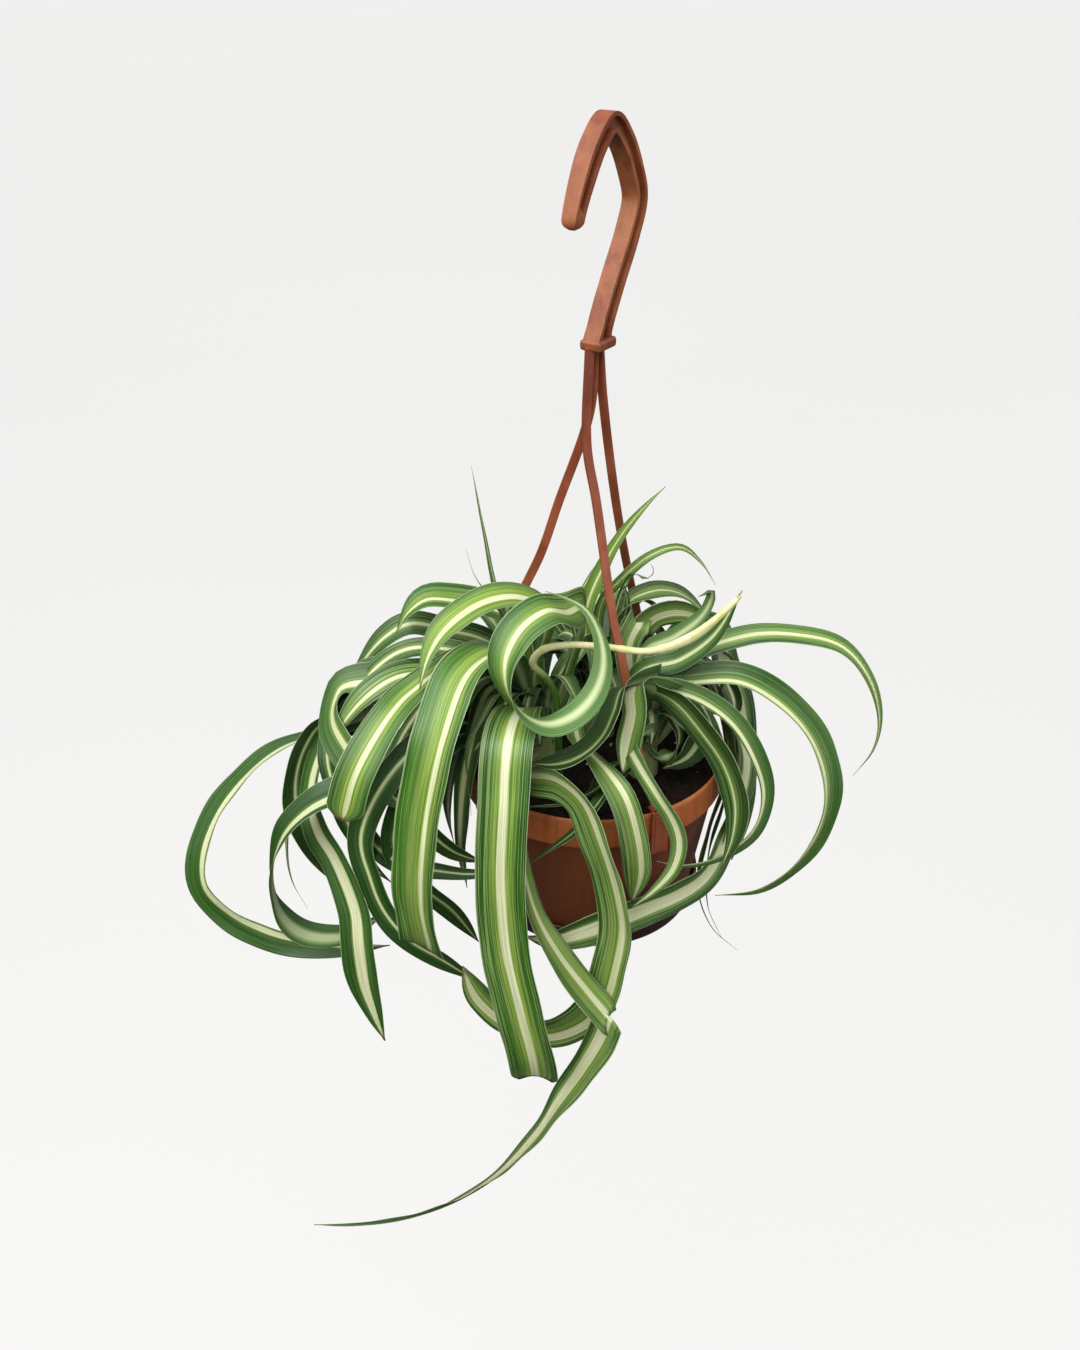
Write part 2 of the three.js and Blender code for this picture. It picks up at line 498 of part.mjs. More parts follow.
// Arching leaves that fill the sides that the named leaves leave open. Directions are in degrees
// from the right, and a leaf rises, arches over and drops by amounts drawn within these limits.
const FILLERS = [
  { crown: 'left', seed: 4, count: 6, from: 112, to: 145,
    reach: [65, 115], rise: [42, 64], drop: [30, 120] },
  { crown: 'left', seed: 1, count: 5, from: 188, to: 222,
    reach: [55, 105], rise: [36, 56], drop: [50, 125] },
  { crown: 'right', seed: 5, count: 4, from: 20, to: 75,
    reach: [55, 88], rise: [40, 58], drop: [40, 120] },
  { crown: 'right', seed: 8, count: 2, from: -25, to: 20,
    reach: [40, 55], rise: [40, 60], drop: [50, 110] },
  { crown: 'back', seed: 180, count: 11, from: 62, to: 160,
    reach: [60, 115], rise: [38, 54], drop: [40, 140] },
  { crown: 'back', seed: 7, count: 4, from: 215, to: 300,
    reach: [30, 45], rise: [40, 62], drop: [10, 35] },
];
const FILLER_WIDTH = [12, 19];
const FILLER_HOLD = 0.6;
const FILLER_ROLLS = { root: [-15, 15], tip: [-30, 30] };
const FILLER_JITTER = [-4, 4];
const FILLER_BEND = [-8, 8];
const GOLDEN = 0.618;

// Points along a filler leaf, as shares of its reach, its rise and its drop
const ARCH = [[0.25, 0.75, 0], [0.55, 1, 0], [0.85, 1, 0.3], [1, 1, 0.7], [0.96, 1, 1]];

function fillerLeaves({ crown, seed, count, from, to, reach, rise, drop }) {
  const [x, y] = CROWNS[crown];
  const draw = draws(seed);
  return Array.from({ length: count }, (_, i) => {
    const angle = turn(from + (to - from) * ((i * GOLDEN) % 1) + draw(...FILLER_JITTER));
    const bend = turn(draw(...FILLER_BEND));
    const span = draw(...reach);
    const top = draw(...rise);
    const fall = draw(...drop);
    const width = draw(...FILLER_WIDTH);
    const rolls = [draw(...FILLER_ROLLS.root), draw(...FILLER_ROLLS.tip)];
    const route = ARCH.map(([out, up, down]) => {
      const heading = angle + bend * out;
      const distance = span * out;
      return [x + distance * Math.cos(heading), y + distance * Math.sin(heading), top * up - fall * down];
    });
    return ['filler', width, ...rolls, FILLER_HOLD, route];
  });
}

// The root of a leaf stands on its crown, on the side that the leaf leaves by, and is the higher
// the higher the leaf rises
function rooted(crown, leaf) {
  const [x, y] = CROWNS[crown];
  const [name, width, rollRoot, rollTip, hold, route, open] = leaf;
  const [firstX, firstY, firstZ] = route[0];
  const out = new THREE.Vector2(firstX - x, firstY - y).setLength(ROOT_OUT);
  const root = [x + out.x, y + out.y, ROOT_LOW + ROOT_SHARE * firstZ];
  return [name, width, rollRoot, rollTip, hold, [root, ...route], open];
}

function crownGeometry(crown) {
  const [x, y] = CROWNS[crown];
  const foot = SOIL_TOP - CROWN_DEPTH;
  const narrow = CROWN_RADIUS - CROWN_TAPER;
  const stem = spun([
    [0, foot], [narrow, foot], [CROWN_RADIUS, foot + 2 * CROWN_TAPER], [CROWN_RADIUS, -6],
    [narrow, 0.6 * CROWN_TOP], [0, CROWN_TOP],
  ], HOLE_FACETS).translate(x, y, 0);
  const fillers = FILLERS.filter((sector) => sector.crown === crown).flatMap(fillerLeaves);
  const leaves = [...LEAVES[crown], ...fillers].map((leaf) => rooted(crown, leaf));
  if (crown === 'left') leaves.push(KINKED_END);
  return geometryOf(join([solid(stem), ...leaves.map(bladeSolid)]));
}

function runnerGeometry() {
  const curve = new THREE.CatmullRomCurve3(RUNNER_ROUTE.map(vector), false, 'centripetal');
  const frames = curve.computeFrenetFrames(RUNNER_STEPS, false);
  const rings = [];
  for (let i = 0; i <= RUNNER_STEPS; i += 1) {
    const share = i / RUNNER_STEPS;
    const radius = RUNNER_RADIUS * (1 - share * RUNNER_TAPER);
    rings.push(Array.from({ length: RUNNER_SIDES }, (_, k) => {
      const angle = 2 * Math.PI * k / RUNNER_SIDES;
      return curve.getPointAt(share)
        .addScaledVector(frames.normals[i], radius * Math.cos(angle))
        .addScaledVector(frames.binormals[i], radius * Math.sin(angle));
    }));
  }
  return skinned(rings);
}

function plain(color, roughness) {
  return new THREE.MeshStandardMaterial({ color, roughness, metalness: 0 });
}

function piece(name, geometry, color, roughness) {
  const mesh = new THREE.Mesh(geometry, plain(color, roughness));
  mesh.name = name;
  return mesh;
}

const plant = new THREE.Group();
plant.add(
  piece('pot', potGeometry(), 0x9c5a36, 0.45),
  piece('saucer', saucerGeometry(), 0x3a1f16, 0.5),
  piece('hanger', hangerGeometry(), 0xb06a48, 0.5),
  piece('potting_soil', soilGeometry(), 0x1d1713, 0.95),
  piece('left_crown', crownGeometry('left'), 0x5f8f3c, 0.5),
  piece('right_crown', crownGeometry('right'), 0x588a3a, 0.5),
  piece('back_crown', crownGeometry('back'), 0x669a42, 0.5),
  piece('runner', runnerGeometry(), 0xe2dba6, 0.5),
);
plant.rotation.z = turn(PLANT_TURN);
plant.position.set(HOOK_OFFSET, 0, -HOOK_TOP);

const model = new THREE.Group();
model.add(plant);

export default model;
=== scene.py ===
import math
import random

import bmesh
import bpy
from bpy.props import FloatProperty, FloatVectorProperty, IntProperty, PointerProperty
from bpy.types import Operator, Panel, PropertyGroup
from mathutils import Matrix, Quaternion, Vector


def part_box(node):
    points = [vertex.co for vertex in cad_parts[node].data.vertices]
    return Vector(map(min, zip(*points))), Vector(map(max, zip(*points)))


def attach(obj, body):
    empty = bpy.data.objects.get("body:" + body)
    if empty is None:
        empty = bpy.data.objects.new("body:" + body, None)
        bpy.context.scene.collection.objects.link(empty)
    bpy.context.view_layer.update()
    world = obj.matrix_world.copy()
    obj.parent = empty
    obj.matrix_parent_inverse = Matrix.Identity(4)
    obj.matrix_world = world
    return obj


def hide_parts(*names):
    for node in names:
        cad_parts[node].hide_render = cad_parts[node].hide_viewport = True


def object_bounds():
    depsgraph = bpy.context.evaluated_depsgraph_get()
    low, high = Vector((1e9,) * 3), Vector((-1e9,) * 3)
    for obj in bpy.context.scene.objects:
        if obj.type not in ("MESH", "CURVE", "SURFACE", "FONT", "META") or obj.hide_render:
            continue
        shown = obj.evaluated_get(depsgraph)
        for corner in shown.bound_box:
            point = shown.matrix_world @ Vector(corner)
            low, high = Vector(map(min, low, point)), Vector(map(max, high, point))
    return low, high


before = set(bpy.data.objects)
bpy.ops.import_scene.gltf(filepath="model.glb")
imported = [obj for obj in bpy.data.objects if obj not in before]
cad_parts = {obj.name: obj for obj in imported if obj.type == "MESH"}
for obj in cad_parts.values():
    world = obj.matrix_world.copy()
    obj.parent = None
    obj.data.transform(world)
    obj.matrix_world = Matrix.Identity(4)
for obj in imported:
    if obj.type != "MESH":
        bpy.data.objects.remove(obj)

bl_info = {
    "name": "Hanging Spider Plant",
    "version": (1, 0, 0),
    "blender": (4, 5, 0),
    "location": "3D View > Sidebar > Plant",
    "description": "A variegated spider plant in a plastic hanging pot, leaf by leaf",
    "category": "Add Mesh",
}

# Sizes are metres and the object's own frame is used throughout: +Z up, origin at the seat of the
# hook. The plant itself is described in millimetres round the middle of the pot's rim, with x to
# the right and y away from the viewer, and is turned as one about the pot's axis.
MM = 0.001
CAD_BOX = [list(corner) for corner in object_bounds()]
POT_LOW, POT_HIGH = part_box("pot")
SAUCER_LOW, SAUCER_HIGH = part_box("saucer")
RIM_CENTRE = Vector(((POT_LOW.x + POT_HIGH.x) / 2, (POT_LOW.y + POT_HIGH.y) / 2, POT_HIGH.z))
RIM_RADIUS = 75
POT_HEIGHT = (POT_HIGH.z - POT_LOW.z) / MM
PLANT_TURN = math.radians(122)
ROW = Matrix.Translation(RIM_CENTRE) @ Matrix.Rotation(PLANT_TURN, 4, "Z") @ Matrix.Scale(MM, 4)
UPRIGHT = Matrix.Translation(RIM_CENTRE) @ Matrix.Scale(MM, 4)

# The pot, its saucer and the soil, in millimetres from the plane of the rim
RIM_BAND = 18.5
RIM_OVERHANG = 4
POT_BASE_RADIUS = 57
POT_WALL = 2
FOOT_HEIGHT = 3
POT_FLOOR = FOOT_HEIGHT + POT_WALL - POT_HEIGHT
DRAIN_HOLES = 6
DRAIN_RADIUS = 4
DRAIN_CIRCLE = 34
SAUCER_RADIUS = 63
SAUCER_WALL = 2
SAUCER_BOTTOM = (SAUCER_LOW.z - RIM_CENTRE.z) / MM
SAUCER_TOP = (SAUCER_HIGH.z - RIM_CENTRE.z) / MM
SOIL_TOP = -12
SOIL_DOME = 2.5
SOIL_GAP = 1.2
SOIL_RINGS = 26
SOIL_ROUND = 96
SOIL_UNEVEN = (-0.7, 0.7)
LUMP_UNEVEN = (-0.2, 0.2)
ROUND = 144
CORNER_STEPS = 4

# The hanger, in millimetres
HOOK_TOP = -RIM_CENTRE.z / MM
HOOK_DEPTH = 9
HOOK_WIDTH = 9
HOOK_WEB = 3
HOOK_FLANGE = 2
COLLAR = {"length": 15.5, "width": 12, "height": 5, "bottom": 226, "back": 1}
STRAP_WIDTH = 4.6
STRAP_THICK = 2
STRAP_UNTWIST = (0.6, 0.95)
CLIP = {"inner": 70, "width": 10, "bridge": 8, "length": 27, "thick": 2, "lug": 3}
CLIP_GAP = 0.3

# The blades of the leaves
CROWN_RADIUS = 9
CROWN_TOP = 30
ROOT_OUT = 6
ROOT_LOW = -4
ROOT_SHARE = 0.26
LEAF_CHANNEL = 0.1
LEAF_STEP = 36
LEAF_STEPS_LEAST = 5
# Shares of a blade's full width at its root and its tip, the share of its length over which it
# opens, and how suddenly it comes to its point
BLADE_ROOT = 0.32
BLADE_TIP = 0.04
BLADE_OPEN = 0.3
BLADE_POINT = 1.6
# A blade that is full to its end is torn off there: its corners are rounded and its end notched
BLUNT_END = 9
BLUNT_CUT = 0.3
NOTCH = 3
NOTCH_REACH = 12
# Shares of the pattern at which the kinked leaf's second part starts and a torn blade stops
KINK_SHARE = 0.5
CUT_SHARE = 0.96
WAVE_LENGTHS = (34, 60)
NARROW_BLADE = 9
COLUMNS_LEAST = 6
ROWS_LEAST = 14
THIN_BLADE = 0.16
THICKER_BY_WIDTH = 0.05
THINNER_AT_EDGE = 0.72
# Millimetres of a blade's length to one unit of the pattern's map
MAP_LENGTH = 100

CROWNS = {"left": (-28, -8), "right": (28, -12), "back": (4, 26)}
# Heights and radii of a crown's stem, and the values that its points carry
STEM = [(-42, 5), (-38, CROWN_RADIUS), (-6, CROWN_RADIUS), (8, 8), (18, 7), (CROWN_TOP, 1.5)]
# The stem's dark value is a little painted shade
STEM_VALUES = (0.02, 0, 0.3, 0.1, 0.5, 0.2, 0.2, 0.2, 0.6)
STEM_FACETS = 20

# Leaves by crown: [name, width, roll at the root, roll at the tip, share of the length up to which
# the blade is full, route], and for some the share from which it is, in place of BLADE_OPEN
LEAVES = {
    "left": [
        ["front_left_broad", 26, 0, 0, 1, [[-48, -38, 80], [-65, -62, 82], [-76, -88, 60],
          [-85, -100, 20], [-90, -104, -30], [-88, -100, -63], [-89, -92, -73]]],
        ["front_left_short", 20, 45, -45, 0.95, [[-62, -28, 72], [-93, -50, 62], [-101, -64, 59],
          [-110, -76, 49], [-119, -86, 34], [-125, -90, 15], [-127, -90, 9]]],
        ["over_left", 22, 120, 195, 0.75, [[-31, -8, 57], [-26, -8, 76], [-28, -8, 89], [-37, -10, 96],
          [-47, -15, 99], [-58, -22, 99], [-68, -30, 96], [-77, -38, 90], [-83, -46, 82],
          [-86, -52, 74], [-88, -54, 66]], 0.8],
        ["top_left", 19, 15, 45, 0.75, [[-44, 18, 68], [-56, 18, 76], [-78, 12, 84], [-91, 8, 86],
          [-100, 2, 81], [-107, -2, 69]]],
        ["left_hump", 14, -20, -40, 0.7, [[-56, 16, 52], [-82, 16, 62], [-101, 14, 67],
          [-116, 12, 59], [-129, 10, 44], [-137, 8, 31]]],
        ["left_striped", 15, -10, -30, 0.7, [[-58, -14, 50], [-88, -22, 58], [-104, -30, 60],
          [-118, -38, 54], [-130, -42, 41], [-138, -42, 25]]],
        ["left_nested", 14, -10, -30, 0.7, [[-60, -12, 58], [-87, -12, 66], [-102, -14, 65],
          [-117, -16, 55], [-130, -18, 38], [-138, -20, 24]]],
        ["left_wrap", 19, -15, -60, 0.8, [[-74, -14, 42], [-134, -20, 48], [-139, -26, 42],
          [-139, -38, 35], [-132, -50, 28], [-121, -58, 17], [-107, -62, 5], [-94, -64, -4]]],
        ["left_loop_big", 16, 60, -105, 0.8, [[-72, 15, 26], [-146, 12, -3], [-162, 7, -4],
          [-180, 1, -8], [-199, -8, -20], [-217, -18, -40], [-227, -30, -63], [-226, -38, -83],
          [-211, -44, -98], [-189, -49, -108], [-166, -52, -112], [-143, -54, -112],
          [-115, -56, -106]]],
        ["left_loop_small", 20, -45, 30, 0.8, [[-82, -24, 24], [-126, -50, 5], [-135, -56, 3],
          [-150, -61, -3], [-163, -65, -15], [-171, -68, -33], [-173, -70, -51], [-170, -70, -70],
          [-159, -68, -85], [-143, -64, -91], [-130, -58, -90], [-117, -54, -84]]],
        ["left_hanging", 21, 15, -75, 0.82, [[-82, -18, 34], [-145, -14, 14], [-150, -22, 5],
          [-154, -32, -7], [-154, -42, -18], [-149, -52, -28], [-140, -61, -38], [-133, -69, -50],
          [-128, -76, -64], [-127, -82, -82], [-125, -86, -108], [-121, -88, -127],
          [-116, -90, -147]]],
        ["left_thin", 7, -40, -40, 0.5, [[-90, -10, 24], [-143, -6, 4], [-169, -5, -27],
          [-180, -8, -65], [-180, -10, -98], [-173, -10, -120]]],
        ["left_tucked", 15, -45, -45, 0.85, [[-72, -36, 34], [-100, -60, 25], [-122, -70, -15],
          [-118, -76, -40], [-111, -80, -60], [-98, -84, -76], [-82, -84, -89], [-62, -82, -108]]],
        ["left_sweep", 13, -20, -60, 0.6, [[-80, -12, 16], [-119, -30, -5], [-124, -48, -28],
          [-106, -66, -35], [-79, -82, -29], [-57, -88, -25], [-37, -88, -17]]],
        ["front_slim", 8, 0, 60, 0.6, [[-49, -46, 59], [-57, -60, 51], [-63, -70, 39],
          [-62, -78, 5]]],
        ["front_broad", 26, 0, 0, 1, [[-36, -48, 52], [-41, -84, 56], [-43, -98, 30],
          [-45, -108, -12], [-43, -114, -54], [-36, -118, -96], [-30, -118, -131], [-29, -112, -150]]],
        ["ring", 20, -180, 150, 0.5, [[-6, -20, 96], [-14, -38, 103], [-24, -50, 110],
          [-36, -60, 105], [-43, -70, 93], [-41, -78, 80], [-33, -82, 70], [-22, -82, 65],
          [-9, -78, 68], [1, -70, 76], [5, -62, 87], [3, -54, 99], [-4, -48, 110], [-13, -44, 114],
          [-24, -40, 116]]],
        ["front_arch", 20, 100, 80, 0.92, [[-36, -56, 18], [-32, -72, 24], [-18, -82, 29],
          [-6, -90, 23], [3, -96, 2], [10, -98, -23], [14, -98, -50], [11, -96, -80], [5, -93, -109],
          [-7, -90, -129], [-24, -88, -139], [-43, -86, -134], [-59, -85, -117], [-70, -84, -94]]],
        ["front_kinked", 26, -90, -75, 1, [[-44, -72, 22], [-37, -90, -4], [-34, -96, -25],
          [-28, -101, -46], [-17, -105, -68], [-2, -108, -91], [11, -110, -109]], 1],
        ["needle_tall", 5, 180, 180, 0.2, [[-51, 10, 83], [-56, 12, 107], [-60, 14, 133],
          [-64, 14, 160]]],
        ["needle_bent", 5, 180, 180, 0.2, [[-47, -8, 82], [-54, -8, 95], [-62, -10, 109],
          [-66, -10, 124]]],
        ["whisker", 3, 0, 0, 0.2, [[-36, 8, 66], [-49, 6, 79], [-56, 6, 100]]],
        ["left_tucked_upper", 15, -45, -45, 0.85, [[-66, -34, 28], [-84, -52, 24], [-106, -62, -23],
          [-101, -66, -40], [-91, -68, -53], [-76, -70, -66], [-62, -70, -89]]],
        ["left_inner", 14, 30, -60, 0.8, [[-60, -24, 22], [-82, -44, 18], [-96, -56, -2],
          [-87, -60, -19], [-75, -64, -29], [-58, -68, -34]]],
        ["left_edge", 14, -15, -30, 0.8, [[-68, -20, 44], [-121, -4, 49], [-133, -10, 45],
          [-142, -18, 35], [-144, -26, 24], [-140, -32, 12]]],
        ["left_side", 15, -30, -30, 0.8, [[-76, -12, 34], [-132, -18, 37], [-140, -30, 28],
          [-141, -42, 16], [-137, -50, -1], [-130, -56, -20], [-120, -60, -42], [-109, -62, -55]]],
        ["left_behind", 17, -165, -105, 0.8, [[-75, -11, 31], [-151, -8, 16], [-161, -16, 6],
          [-167, -24, -10], [-167, -32, -25], [-160, -40, -42], [-150, -46, -57], [-140, -50, -69]]],
        ["front_fan", 15, -75, 75, 0.85, [[-8, -28, 46], [-11, -46, 41], [-8, -56, 35],
          [-1, -63, 32], [7, -73, 28], [15, -81, 19], [21, -84, -1], [24, -84, -24],
          [22, -82, -48]]],
    ],
    "right": [
        ["right_long", 12, 40, 40, 0.4, [[46, 0, 50], [82, 7, 65], [112, 7, 66], [135, 5, 60],
          [151, 1, 42], [158, -4, 19], [156, -8, 2], [146, -12, -13]]],
        ["right_hoop", 13, 45, 50, 0.6, [[38, -15, 50], [52, -15, 53], [78, -18, 56],
          [102, -22, 44], [121, -28, 23], [130, -34, -4], [127, -40, -30], [113, -46, -52],
          [94, -50, -65], [69, -54, -66]]],
        ["right_hoop_thin", 9, 40, 50, 0.5, [[31, -30, 55], [50, -35, 56], [72, -40, 44],
          [86, -46, 25], [93, -52, 2], [87, -60, -17], [69, -70, -26], [49, -79, -25],
          [34, -84, -18]]],
        ["right_dark", 18, 0, 0, 0.75, [[36, -30, 56], [28, -42, 63], [43, -48, 58], [58, -54, 42],
          [70, -60, 25], [76, -66, 6], [75, -70, -13], [69, -74, -30]]],
        ["right_under", 19, 30, 75, 0.85, [[64, 7, 29], [86, -6, -3], [73, -36, -45], [63, -50, -56],
          [47, -62, -60], [31, -72, -60], [12, -78, -65], [-7, -81, -72], [-22, -82, -76],
          [-36, -80, -75]]],
        ["right_curtain", 20, 45, 60, 0.8, [[50, 21, 56], [66, 21, 61], [74, 16, 39], [81, 8, 23],
          [85, 2, -3], [85, -4, -30], [85, -10, -54], [82, -14, -73]]],
        ["right_curtain_inner", 16, 30, 30, 0.7, [[57, 36, 36], [70, 30, 13], [78, 22, -20],
          [76, 16, -52]]],
        ["right_front", 16, 15, -30, 0.85, [[36, -28, 52], [38, -42, 60], [22, -52, 68],
          [22, -58, 55], [19, -62, 40], [16, -66, 24]]],
        ["front_cross", 14, 20, 60, 0.6, [[8, -58, 20], [3, -70, 17], [-12, -79, 14],
          [-33, -82, 14]]],
        ["front_cross_dark", 8, 0, 60, 0.6, [[10, -62, 14], [3, -80, 15], [-8, -84, 1],
          [-21, -85, -11], [-34, -83, -24]]],
        ["right_rim", 11, 40, 70, 0.6, [[30, -44, 36], [20, -62, 38], [25, -72, 32], [33, -83, 24],
          [42, -88, 10], [45, -90, -2], [42, -91, -18], [32, -91, -33], [21, -90, -45]]],
        ["right_tips", 9, 40, 20, 0.5, [[60, 18, 24], [74, 24, 10], [79, 16, -27], [69, 4, -65],
          [64, -4, -101], [74, -10, -129], [90, -13, -144]]],
        ["right_tips_thin", 6, 20, 20, 0.5, [[56, 8, 16], [78, 14, 5], [78, 8, -39], [70, 0, -77],
          [71, -4, -116], [81, -6, -141]]],
        ["right_coil", 10, -15, -90, 0.7, [[40, -8, 26], [40, -24, 35], [46, -30, 27], [44, -34, 16],
          [35, -34, 12], [30, -30, 17], [32, -26, 22], [38, -24, 23]]],
        ["dark_hollow", 19, 75, 30, 0.85, [[32, -30, 57], [28, -45, 67], [14, -53, 67], [10, -61, 59],
          [4, -69, 49], [-6, -75, 42], [-18, -77, 38], [-31, -76, 37]]],
        ["right_saddle", 18, 30, -30, 0.75, [[18, 2, 62], [24, 10, 72], [23, 14, 63], [33, 15, 73],
          [45, 16, 76], [57, 17, 72], [65, 18, 61]]],
        ["right_folded", 13, 20, 60, 0.6, [[25, -5, 61], [43, -6, 73], [57, -6, 86],
          [61, -7, 99], [54, -14, 100]]],
        ["right_rising", 12, 40, 40, 0.6, [[25, -14, 53], [46, -18, 64], [63, -18, 79],
          [76, -16, 105]]],
        ["right_dark_broad", 17, 15, 30, 0.8, [[40, 2, 40], [56, -2, 38], [59, -20, 31],
          [58, -26, 22], [51, -32, 12], [38, -36, 7]]],
    ],
    "back": [
        ["upright_broad", 10, 180, 180, 0.4, [[-4, 14, 75], [4, 14, 101], [14, 13, 122],
          [26, 12, 139], [36, 10, 151]]],
        ["upright_slim", 6, 180, 180, 0.4, [[-10, 16, 74], [-3, 18, 93], [9, 20, 113]]],
        ["upright_arc", 6, 180, 180, 0.5, [[4, 18, 78], [15, 16, 95], [30, 18, 108],
          [46, 24, 110], [58, 28, 99], [67, 30, 84]]],
        ["upright_hooked", 4, 180, 180, 0.8, [[13, 16, 82], [21, 16, 98], [28, 16, 95],
          [32, 16, 99], [30, 16, 104]]],
        ["upright_blade", 8, 180, 180, 0.5, [[13, 14, 59], [18, 15, 81], [14, 16, 96]]],
        ["back_right_arch", 13, 30, 30, 0.7, [[17, 18, 77], [31, 26, 82], [47, 38, 75],
          [62, 46, 59], [71, 48, 38]]],
    ],
}

# The folded end of the longest front leaf, which doubles back below its kink
KINKED_END = ["front_kinked_end", 23, -30, 90, 0.4, [[12, -110, -105], [8, -112, -119],
  [-2, -113, -142], [-16, -114, -169], [-30, -116, -196], [-52, -117, -227], [-80, -117, -253],
  [-112, -116, -271], [-143, -114, -280], [-166, -112, -283]], 0]

RUNNER_ROUTE = [[-18, -34, -24], [-18, -34, -6], [-19, -36, 48], [-23, -40, 64], [-31, -44, 77],
                [-26, -45, 85], [-14, -43, 87], [3, -42, 86], [29, -41, 83], [49, -38, 89],
                [64, -35, 101], [72, -34, 110]]
RUNNER_RADIUS = 2
RUNNER_TAPER = 0.2
RUNNER_KNOTS = (0.3, 0.52, 0.7, 0.79)
KNOT_HEIGHT = 0.3
KNOT_LENGTH = 2.0
# The flattened, grooved sheath near the tip: its place and spread are shares of the length
SHEATH_HEIGHT = 0.75
SHEATH_PLACE = 0.86
SHEATH_SPREAD = 0.07
GROOVES = 5
GROOVE_DEPTH = 0.06
RUNNER_BLUNT = 3
RUNNER_STEPS = 150
RUNNER_FACETS = 16
TIP_HAIRS = 14
HAIR_WIDTH = 0.7

# Sectors of arching leaves on the sides that the named leaves leave open, in degrees from the
# right: crown, seed, count, from, to, and the limits of reach, rise and drop
FILLERS = [
    ("left", 4, 6, 112, 145, (65, 115), (42, 64), (30, 120)),
    ("left", 1, 5, 188, 222, (55, 105), (36, 56), (50, 125)),
    ("right", 5, 4, 20, 75, (55, 88), (40, 58), (40, 120)),
    ("right", 8, 2, -25, 20, (40, 55), (40, 60), (50, 110)),
    ("back", 180, 11, 62, 160, (60, 115), (38, 54), (40, 140)),
    ("back", 7, 4, 215, 300, (30, 45), (40, 62), (10, 35)),
]
# More of them in the heart of the plant, narrower, that the solids leave out
INNER_LEAVES = [
    ("left", 21, 10, 150, 250, (38, 78), (34, 66), (6, 60)),
    ("left", 22, 7, 250, 320, (24, 44), (34, 60), (0, 22)),
    ("right", 23, 7, 225, 330, (24, 42), (34, 62), (0, 20)),
    ("right", 24, 8, -30, 80, (34, 58), (34, 62), (6, 50)),
    ("back", 25, 9, 0, 180, (36, 80), (36, 62), (6, 60)),
    ("back", 26, 8, 180, 360, (18, 40), (36, 70), (0, 20)),
]
INNER_WIDTH = 0.75
# They keep this far from the runner and from the straps below this height, in millimetres, and
# the routes of the three are compared at this many points
INNER_CLEAR = 3.5
INNER_TOP = 120
RUNNER_POINTS, STRAP_POINTS, INNER_POINTS = 40, 70, 30
FILLER_WIDTH = (12, 19)
FILLER_HOLD = 0.6
FILLER_JITTER = (-4, 4)
FILLER_BEND = (-8, 8)
FILLER_ROOT_ROLL = (-15, 15)
FILLER_TIP_ROLL = (-30, 30)
GOLDEN = 0.618

# Points along a filler leaf, as shares of its reach, its rise and its drop
ARCH = [(0.25, 0.75, 0), (0.55, 1, 0), (0.85, 1, 0.3), (1, 1, 0.7), (0.96, 1, 1)]
